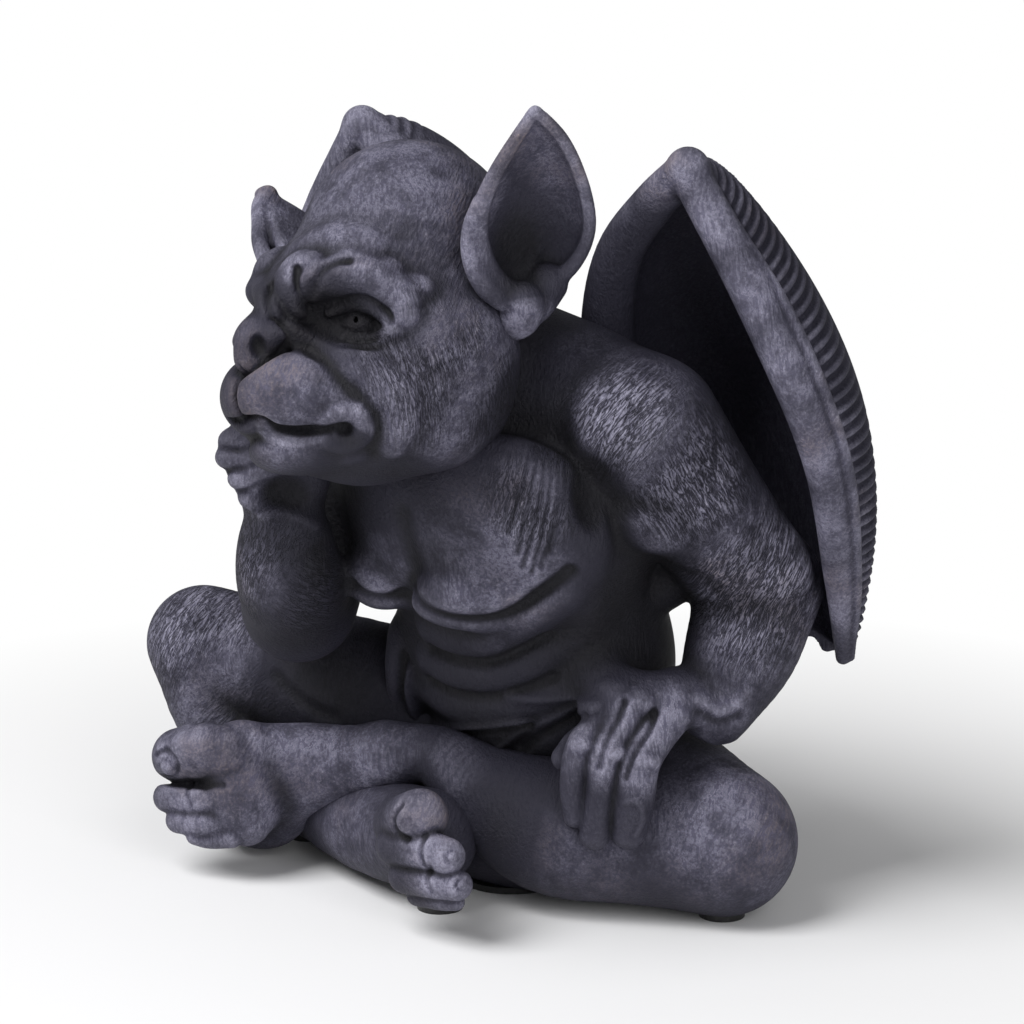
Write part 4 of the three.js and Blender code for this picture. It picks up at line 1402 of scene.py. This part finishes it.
@dataclass
class Ear(Casting):
    """A cupped, leaf-shaped ear with a rolled front rim, a bowl and a lobule.

    The left ear is worked as the photograph shows it, and the right one is its mirror
    image through the head. Each rim station is a spot and how near it stands.
    """

    voxel: float = 0.4
    mirror: Mirror = FACE
    wall: float = 2.4
    rows: int = 90
    columns: int = 70
    rim_steps: int = 12
    handle: float = 0.3
    cup_depth: float = 13.0
    cup_belly: float = 8.0
    front_rim: tuple[Point, ...] = (
        (534, 111, 69), (524, 126, 67), (504, 158, 64), (487, 190, 61), (479, 222, 58), (482, 254, 55),
        (495, 278, 53), (516, 298, 50))
    back_rim: tuple[Point, ...] = (
        (536, 111, 69), (551, 124, 66), (567, 145, 62), (580, 175, 57), (589, 208, 53), (588, 238, 50),
        (574, 264, 48), (546, 288, 48))
    lower: Point = (-1, -1, -4.8)
    # Painted shade: dark dabs in the ear's bowl.
    shade_dabs: tuple[Dab, ...] = (
        Dab("bowl", (506, 262), 8, 1.0), Dab("upper bowl", (512, 220), 9, 0.6),
        Dab("foot of the bowl", (520, 282), 5, 0.7),
    )
    brushed: tuple[Dab, ...] = (
        Dab("tip", (522, 125), 9, 1.0), Dab("front rim", (474, 210), 9, 1.0), Dab("flap", (468, 255), 8, 0.8),
        Dab("lobule", (525, 322), 7, 0.9), Dab("back rim", (575, 180), 10, 0.75),
        Dab("inner back", (555, 160), 9, 0.6),
    )

    def outline(self, rim: tuple[Point, ...], count: int) -> Array:
        """Return even points along a rim."""
        fine = smooth_path(np.array(SIGHT.places(rim)), self.rim_steps)
        run = travelled(fine)
        even = np.linspace(0, run[-1], count)
        return np.column_stack([np.interp(even, run, fine[:, k]) for k in range(3)])

    def leaf(self) -> Skin:
        """Return the cupped leaf, a closed shell from the front rim through the bowl to the back rim."""
        front, back = self.outline(self.front_rim, self.rows), self.outline(self.back_rim, self.rows)
        front, back = front[:, None], back[:, None]
        share = np.linspace(0, 1, self.rows)
        depth = (np.sin(np.pi * share**1.3) ** 0.7)[:, None, None] * -SIGHT.axes()[2]
        bottom = (front + back) / 2 + depth * self.cup_depth
        first = front + (bottom - front) * self.handle + depth * self.cup_belly
        second = back + (bottom - back) * self.handle + depth * self.cup_belly
        return shell_of(arched(front, first, second, back, self.columns), self.wall)

    def across(self, path: tuple[Point, ...], radii: tuple[float, ...]) -> Limb:
        """Return a limb of the right ear, where the left ear's clay has to stand to mirror onto its spots."""
        return Limb(self.mirror.over(np.array(SIGHT.places(path)) - np.array(self.lower)), radii, blend=1.8)

    def modelled(self) -> Modeller:
        """Return the clay of the left ear, which the right one mirrors."""
        modeller = Modeller()
        modeller.add(
            self.leaf(),
            Limb(self.outline(self.front_rim, 7), (1.0, 1.3, 1.6, 1.9, 2.2, 2.4, 2.6), blend=1.5),
            Limb(self.outline(self.back_rim, 7), (1.0, 1.1, 1.2, 1.2, 1.3, 1.6, 2.2), blend=1.5),
            self.rod(((478, 204, 60), (471, 224, 58), (470, 246, 56), (475, 268, 55), (487, 288, 54),
                      (501, 300, 52)), (1.4, 1.8, 2.2, 2.4, 2.6, 2.4)),
            self.rod(((523, 302, 50), (520, 316, 48), (515, 326, 45)), (4.8, 4.8, 3.4)),
            self.rod(((547, 284, 46), (535, 301, 46), (525, 315, 45)), (4.8, 4.8, 3.6)),
            self.rod(((492, 225, 41), (506, 262, 39), (522, 296, 41)), (7.0, 8.0, 7.0)),
            self.rod(((540, 236, 44), (528, 262, 45), (512, 282, 46)), (1.2, 2.0, 1.6), blend=3),
        )
        if self.side < 0:
            modeller.add(
                self.across(((268, 195, -13), (261, 206, -10), (260, 224, -6), (260, 243, -2), (266, 262, 1)),
                            (2.4, 2.3, 2.1, 2.0, 2.0)),
                self.across(((272, 206, -12), (270, 225, -8), (271, 246, -4)), (2.4, 2.4, 2.2)),
            )
        return modeller


def shell_of(middle: Array, thickness: float, ribs: Array | None = None) -> Skin:
    """Give a surface a thickness.

    Args:
        middle: The middle surface, as rows and columns of points.
        thickness: The shell's thickness.
        ribs: How far the outer face stands out at each point, or None for none.

    Returns:
        The closed shell.
    """
    rows, columns = middle.shape[:2]
    down, over = np.gradient(middle, axis=0), np.gradient(middle, axis=1)
    normal = np.cross(over, down)
    normal /= np.linalg.norm(normal, axis=2, keepdims=True) + 1e-9
    lift = np.full((rows, columns), thickness / 2) + (0 if ribs is None else ribs)
    outer = middle + normal * lift[:, :, None]
    inner = middle - normal * thickness / 2
    number = np.arange(rows * columns).reshape(rows, columns)
    a, b, c, d = number[:-1, :-1], number[:-1, 1:], number[1:, 1:], number[1:, :-1]
    second = rows * columns
    loop = np.concatenate([number[0, :-1], number[:-1, -1], number[-1, :0:-1], number[:0:-1, 0]])
    onward = np.roll(loop, -1)
    faces = [np.stack([a, d, c, b], -1).reshape(-1, 4), np.stack([a, b, c, d], -1).reshape(-1, 4) + second,
             np.stack([loop, onward, onward + second, loop + second], -1)]
    points = np.concatenate([outer.reshape(-1, 3), inner.reshape(-1, 3)])
    return Skin(points, np.concatenate(faces), blend=2.0)


@dataclass
class LeftLeg(Casting):
    """The leg that lies folded in front, its foot on its outer edge."""

    name: str = "left_leg_casting"
    stands_for: tuple[str, ...] = ("left_leg",)
    voxel: float = 0.55
    # Painted shade: dark dabs under the hand, between the legs and below the shin.
    shade_dabs: tuple[Dab, ...] = (
        Dab("under the hand", (600, 800), 8, 0.5), Dab("between the legs", (420, 800), 8, 0.6),
        Dab("below the shin", (500, 830), 8, 0.5),
    )
    brushed: tuple[Dab, ...] = (
        Dab("instep", (285, 768), 20, 0.95), Dab("big toe", (180, 745), 9, 1.0),
        Dab("second toe", (190, 795), 8, 0.85), Dab("third toe", (190, 828), 7, 0.75),
        Dab("knee", (765, 805), 19, 1.0), Dab("knee's side", (705, 840), 15, 0.75),
        Dab("calf", (590, 865), 16, 0.45), Dab("ankle", (365, 765), 12, 0.7), Dab("shin", (450, 770), 9, 0.3),
        Dab("heel", (235, 830), 8, 0.4),
    )

    def modelled(self) -> Modeller:
        """Return the clay of the left leg."""
        modeller = Modeller()
        modeller.add(
            Limb(((14, 18, 27), (36, 15, 23), (56, 11, 19)), (20, 19, 17), blend=6),
            Limb(((56, 11, 18), (38, 1, 19.5), (20, -9, 20), (4, -14, 26), (-9, -17, 33), (-22, -21, 32)),
                 (17, 17.3, 16.5, 11.5, 7.5, 7.5), blend=5),
            Limb(((-22, -21, 32), (-40, -26, 26), (-60, -28, 17)), (7.5, 10, 12), blend=5, flat=0.8,
                 across=(0.2, 1, 0)),
            Lump((-60, -28, 16), (17, 8.5, 14), (0, 0, 6), blend=4),
            self.rod(((240, 754, -19), (242, 796, -20), (246, 820, -18)), (8.2, 9.8, 6.4), 7),
            self.toe(((228, 754, -16), (200, 752, -19), (180, 756, -22)), (6.8, 7.1, 6.9)),
            self.toe(((228, 800, -16), (198, 800, -19), (169, 797, -22)), (4.3, 4.3, 3.9)),
            self.toe(((230, 821, -16), (204, 823, -18), (179, 820, -21)), (3.7, 3.6, 3.3)),
            self.toe(((232, 838, -15), (210, 839, -18), (195, 836, -19)), (2.5, 2.4, 2.2)),
        )
        modeller.work(
            Stroke("gap under the big toe", ((160, 780), (178, 784), (200, 786), (222, 784)), 0.9, -0.8),
            Stroke("crease across the second toe", ((190, 783), (187, 793), (190, 804)), 0.8, -0.5),
            Stroke("crease across the big toe", ((196, 724), (191, 742), (194, 764)), 1.0, -0.6),
            Stroke("big toe's nail", ((156, 755), (166, 750), (176, 756), (178, 766), (172, 774), (160, 776)),
                   0.7, -0.7),
            Swelling("big toe's tip", ((170, 766),), (2.4, 2.4, 2), 0.5, blend=0.8),
            Swelling("ball of the big toe", ((200, 748),), (7, 5, 6), 1.5, blend=3),
            Swelling("instep", ((300, 760),), (18, 8, 8), 1.2, -8, blend=6),
        )
        return modeller


@dataclass
class RightLeg(Casting):
    """The leg whose knee stands up, and whose foot is tucked under the left shin."""

    name: str = "right_leg_casting"
    stands_for: tuple[str, ...] = ("right_leg",)
    voxel: float = 0.55
    # Painted shade: dark dabs under and inside the thigh and beside the shin.
    shade_dabs: tuple[Dab, ...] = (
        Dab("under the thigh", (330, 690), 14, 0.8), Dab("inner thigh", (300, 640), 10, 0.4),
        Dab("beside the shin", (250, 720), 5, 0.4),
    )
    brushed: tuple[Dab, ...] = (
        Dab("knee", (200, 632), 18, 0.95), Dab("calf", (205, 692), 12, 0.8),
        Dab("big toe", (420, 812), 8, 1.0), Dab("second toe", (430, 850), 8, 1.0),
        Dab("third toe", (440, 884), 7, 0.9), Dab("sole", (350, 825), 14, 0.5),
    )
    furred: tuple[Fur, ...] = (
        Fur("knee", (200, 635), (180, 680), 20, 0.7), Fur("calf", (230, 690), (200, 715), 14, 0.7),
    )

    def modelled(self) -> Modeller:
        """Return the clay of the right leg."""
        modeller = Modeller()
        modeller.add(
            Limb(((-22, 12, 30), (-45, -1, 38), (-70, -12, 45), (-86, -18, 48)), (20, 18.5, 15.5, 13.5),
                 blend=6),
            Limb(((-86, -18, 48), (-78, -19, 30), (-60, -8, 13.5), (-28, -22, 13)), (13.5, 11.5, 12, 10),
                 blend=5),
            Limb(((-40, -18, 12), (-18, -24, 14), (-2, -29, 17)), (9, 12, 12), blend=5),
            self.toe(((402, 824, 17), (420, 817, 26)), (6.8, 6.7)),
            self.toe(((396, 846, 21), (424, 850, 28), (447, 856, 33)), (4.8, 4.8, 4.3)),
            self.toe(((406, 876, 21), (434, 881, 28), (457, 885, 32)), (4.2, 4.1, 3.7)),
            self.toe(((418, 895, 20), (442, 900, 26), (456, 902, 29)), (2.7, 2.5, 2.1)),
        )
        modeller.work(
            Stroke("big toe's nail", ((400, 806), (393, 818), (397, 832), (407, 839)), 0.9, -1.0),
            Swelling("second nail", ((452, 857),), (2.3, 2.1, 2), -1.0, blend=0.6),
            Swelling("third nail", ((462, 885),), (2.1, 1.9, 2), -1.0, blend=0.6),
            Swelling("bed of the second nail", ((452, 857),), (1.3, 1.2, 1.4), 0.7, blend=0.5),
            Swelling("bed of the third nail", ((462, 885),), (1.2, 1.1, 1.4), 0.7, blend=0.5),
            Stroke("crease across the second toe", ((424, 838), (420, 850), (423, 864)), 0.8, -0.7),
            Stroke("crease across the third toe", ((430, 868), (427, 878), (430, 890)), 0.8, -0.6),
            Stroke("crease behind the knee", ((276, 676), (292, 692), (310, 706), (332, 716)), 1.8, -0.9),
        )
        return modeller


@dataclass
class Wing(Casting):
    """A cupped wing with a thick front rim and a ribbed skin behind it."""

    voxel: float = 0.5
    root: Point = (15, 20, 112)
    peak: Point = (50, 3, 180)
    tip: Point = (70, 40, 60)
    skin: float = 2.6
    arm_bow: float = 13.0
    rim_flare: float = 21.0
    rim_forward: float = 9.5
    hood_lift: float = 58.0
    front_lift: float = 18.0
    back_in: float = 4.0
    root_overlap: float = 6.0
    cup_depth: float = 40.0
    flare: float = 13.0
    rib_pitch: float = 2.9
    rib_height: float = 0.85
    rib_reach: float = 22.0
    rib_slant: float = 0.05
    plain_rim: float = 3.0
    rib_rise: float = 2.0
    rib_fall: float = 10.0
    outer_cup: float = 36.0
    rows: int = 300
    columns: int = 120
    # Painted shade: dark dabs down the inside of the cupped wing.
    shade_dabs: tuple[Dab, ...] = (
        Dab("inside, high", (680, 260), 16, 0.6), Dab("inside, middle", (730, 380), 16, 0.6),
        Dab("inside, low", (770, 500), 14, 0.6),
    )
    brushed: tuple[Dab, ...] = (
        Dab("arm bone", (625, 205), 7, 0.3), Dab("peak", (665, 172), 11, 1.0),
        Dab("upper rim", (712, 222), 12, 1.05), Dab("below it", (752, 292), 12, 1.05),
        Dab("middle rim", (790, 365), 12, 1.05), Dab("lower rim", (818, 450), 12, 1.0),
        Dab("last rim", (834, 525), 11, 0.9), Dab("tip", (845, 600), 11, 0.8),
    )

    def arm_at(self, share: Array) -> Array:
        """Return points on the arm bone, from the root up to the peak."""
        line = np.outer(1 - share, self.root) + np.outer(share, self.peak)
        line[:, 0] -= self.arm_bow * np.sin(np.pi * share**1.3)
        return line

    def rim_at(self, share: Array) -> Array:
        """Return points on the rim, from the peak down to the tip."""
        line = np.outer(1 - share, self.peak) + np.outer(share, self.tip)
        bow = np.sin(np.pi * np.clip(share, 0, 1)) ** 1.2
        line[:, 0] += self.rim_flare * bow
        line[:, 1] -= self.rim_forward * bow
        return line

    def inner_edge_at(self, share: Array) -> Array:
        """Return points on the skin's inner edge, down the arm to the root and out to the tip."""
        height = self.peak[2] + share * (self.tip[2] - self.peak[2])
        up = np.clip((height - self.root[2]) / (self.peak[2] - self.root[2]), 0, 1)
        high = self.arm_at(up)
        high[:, 1] += self.root_overlap * (1 - up)
        down = np.clip((self.root[2] - height) / (self.root[2] - self.tip[2]), 0, 1)
        low = np.column_stack([
            self.root[0] + (self.tip[0] - self.root[0]) * down**2.2,
            self.root[1] + self.root_overlap + (self.tip[1] - self.root[1] - self.root_overlap) * down,
            height])
        return np.where((height >= self.root[2])[:, None], high, low)

    def membrane(self) -> Skin:
        """Return the cupped skin, with ribs on its outer face."""
        share = np.linspace(0.006, 0.985, self.rows)
        start, end = self.inner_edge_at(share), self.rim_at(share)
        bulge = (np.sin(np.pi * share) ** 0.8)[:, None]
        high, same = (1 - share) ** 2, np.ones_like(share)
        back = np.column_stack([-self.back_in * same, self.cup_depth * same, self.hood_lift * high])
        out = np.column_stack([self.flare * same, self.outer_cup * same, self.front_lift * high])
        first, second = (start + back * bulge)[:, None], (end + out * bulge)[:, None]
        middle = arched(start[:, None], first, second, end[:, None], self.columns)
        from_rim = np.linalg.norm(middle - end[:, None], axis=2)
        wave = np.cos(2 * np.pi * (travelled(end)[:, None] + self.rib_slant * from_rim) / self.rib_pitch)
        rise = np.clip((from_rim - self.plain_rim) / self.rib_rise, 0, 1)
        fade = rise * np.clip((self.rib_reach - from_rim) / self.rib_fall, 0, 1)
        fade *= np.clip(share / 0.1, 0, 1)[:, None]
        return shell_of(middle, self.skin, self.rib_height * wave * fade)

    def modelled(self) -> Modeller:
        """Return the clay of the left wing, which the right one mirrors."""
        arm = self.arm_at(np.array([0.0, 0.38, 0.65, 0.85, 1.0]))
        rim = self.rim_at(np.array([0.0, 0.25, 0.53, 0.8, 1.0]))
        outward = np.array([0.77, 0.62, 0.0])
        main = rim - 0.6 * outward
        ridge = rim + np.outer([0.8, 4.4, 4.2, 3.2, 1.2], outward)
        modeller = Modeller()
        modeller.add(
            self.membrane(),
            Limb(arm, (7.2, 6.4, 5.6, 5, 4.6), blend=4),
            Limb(main, (4.5, 5.0, 4.6, 3.6, 1.8), blend=2),
            Limb(ridge, (1.6, 2.3, 2.1, 1.7, 1), blend=0.8),
        )
        return modeller


@dataclass
class Studio:
    """The floor, the lamps and the camera."""

    sensor: float = 36.0
    floor_size: float = 8.0
    floor_tone: Point = (0.88, 0.88, 0.89)
    floor_fade: tuple[float, float] = (0.1, 0.26)
    world_light: float = 0.22

    def camera(self) -> None:
        """Add the camera at the photograph's angle."""
        data = bpy.data.cameras.new("camera")
        data.sensor_width = self.sensor
        data.lens = SIGHT.focal_length * self.sensor / SIGHT.picture
        camera = bpy.data.objects.new("camera", data)
        camera.location = Vector(SIGHT.eye()) * MM
        camera.rotation_euler = Vector(SIGHT.axes()[2]).to_track_quat("Z", "Y").to_euler()
        bpy.context.scene.collection.objects.link(camera)
        bpy.context.scene.camera = camera

    def floor(self) -> None:
        """Add the pale floor, which keeps the shadow and fades to white away from the figurine."""
        bpy.ops.object.select_all(action="DESELECT")
        bpy.ops.mesh.primitive_plane_add(size=self.floor_size, location=(0, 0, 0))
        floor = bpy.context.active_object
        floor.name = "floor"
        material = bpy.data.materials.new("pale_floor")
        nodes = Nodes(material)
        nodes.shader.inputs["Base Color"].default_value = (*self.floor_tone, 1)
        nodes.shader.inputs["Roughness"].default_value = 0.9
        nodes.shader.inputs["Specular IOR Level"].default_value = 0.1
        place = nodes.add("ShaderNodeTexCoord").outputs["Object"]
        away = nodes.add("ShaderNodeVectorMath", {0: place}, operation="LENGTH").outputs["Value"]
        seen = nodes.add("ShaderNodeLightPath").outputs["Is Camera Ray"]
        share = nodes.maths("MULTIPLY", nodes.ramp(away, *self.floor_fade), seen)
        white = nodes.add("ShaderNodeEmission", {"Color": (1, 1, 1, 1), "Strength": 1.0})
        both = nodes.add("ShaderNodeMixShader", {0: share, 1: nodes.shader.outputs[0], 2: white.outputs[0]})
        nodes.tree.links.new(both.outputs[0], nodes.tree.nodes["Material Output"].inputs[0])
        floor.data.materials.append(material)

    def lamp(self, name: str, place: Point, size: float, power: float) -> None:
        """Add a soft square lamp that faces the figurine.

        Args:
            name: The lamp's name.
            place: Where it hangs, in millimetres.
            size: Its side in millimetres.
            power: Its power in watts.
        """
        data = bpy.data.lights.new(name, "AREA")
        data.energy = power
        data.size = size * MM
        lamp = bpy.data.objects.new(name, data)
        lamp.location = Vector(place) * MM
        lamp.rotation_euler = (Vector(place) - Vector(SIGHT.aim)).to_track_quat("Z", "Y").to_euler()
        bpy.context.scene.collection.objects.link(lamp)

    def light(self) -> None:
        """Add the lamps and the pale world."""
        self.lamp("key", (-250, -650, 950), 700, 13.0)
        self.lamp("fill", (900, -500, 500), 600, 4.2)
        world = bpy.data.worlds.new("studio")
        world.use_nodes = True
        tree = world.node_tree
        background = tree.nodes["Background"]
        background.inputs["Color"].default_value = (1, 1, 1, 1)
        path = tree.nodes.new("ShaderNodeLightPath")
        strength = tree.nodes.new("ShaderNodeMapRange")
        strength.inputs[3].default_value, strength.inputs[4].default_value = self.world_light, 1.0
        tree.links.new(path.outputs["Is Camera Ray"], strength.inputs[0])
        tree.links.new(strength.outputs[0], background.inputs["Strength"])
        bpy.context.scene.world = world
        bpy.context.scene.view_settings.view_transform = "Standard"


def main() -> None:
    """Build the figurine, dress it and light it."""
    logging.basicConfig(level=logging.INFO, format="%(name)s: %(message)s")
    castings = [TorsoAndArms(), Head(), LeftLeg(), RightLeg()]
    castings += [kind(f"{word}_{part}_casting", (f"{word}_{part}",), side=side)
                 for kind, part in ((Ear, "ear"), (Wing, "wing"))
                 for word, side in (("left", 1), ("right", -1))]
    for casting in castings:
        casting.build()
    Fittings().build()
    studio = Studio()
    studio.camera()
    studio.floor()
    studio.light()
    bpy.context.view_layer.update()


if __name__ == "__main__":
    main()
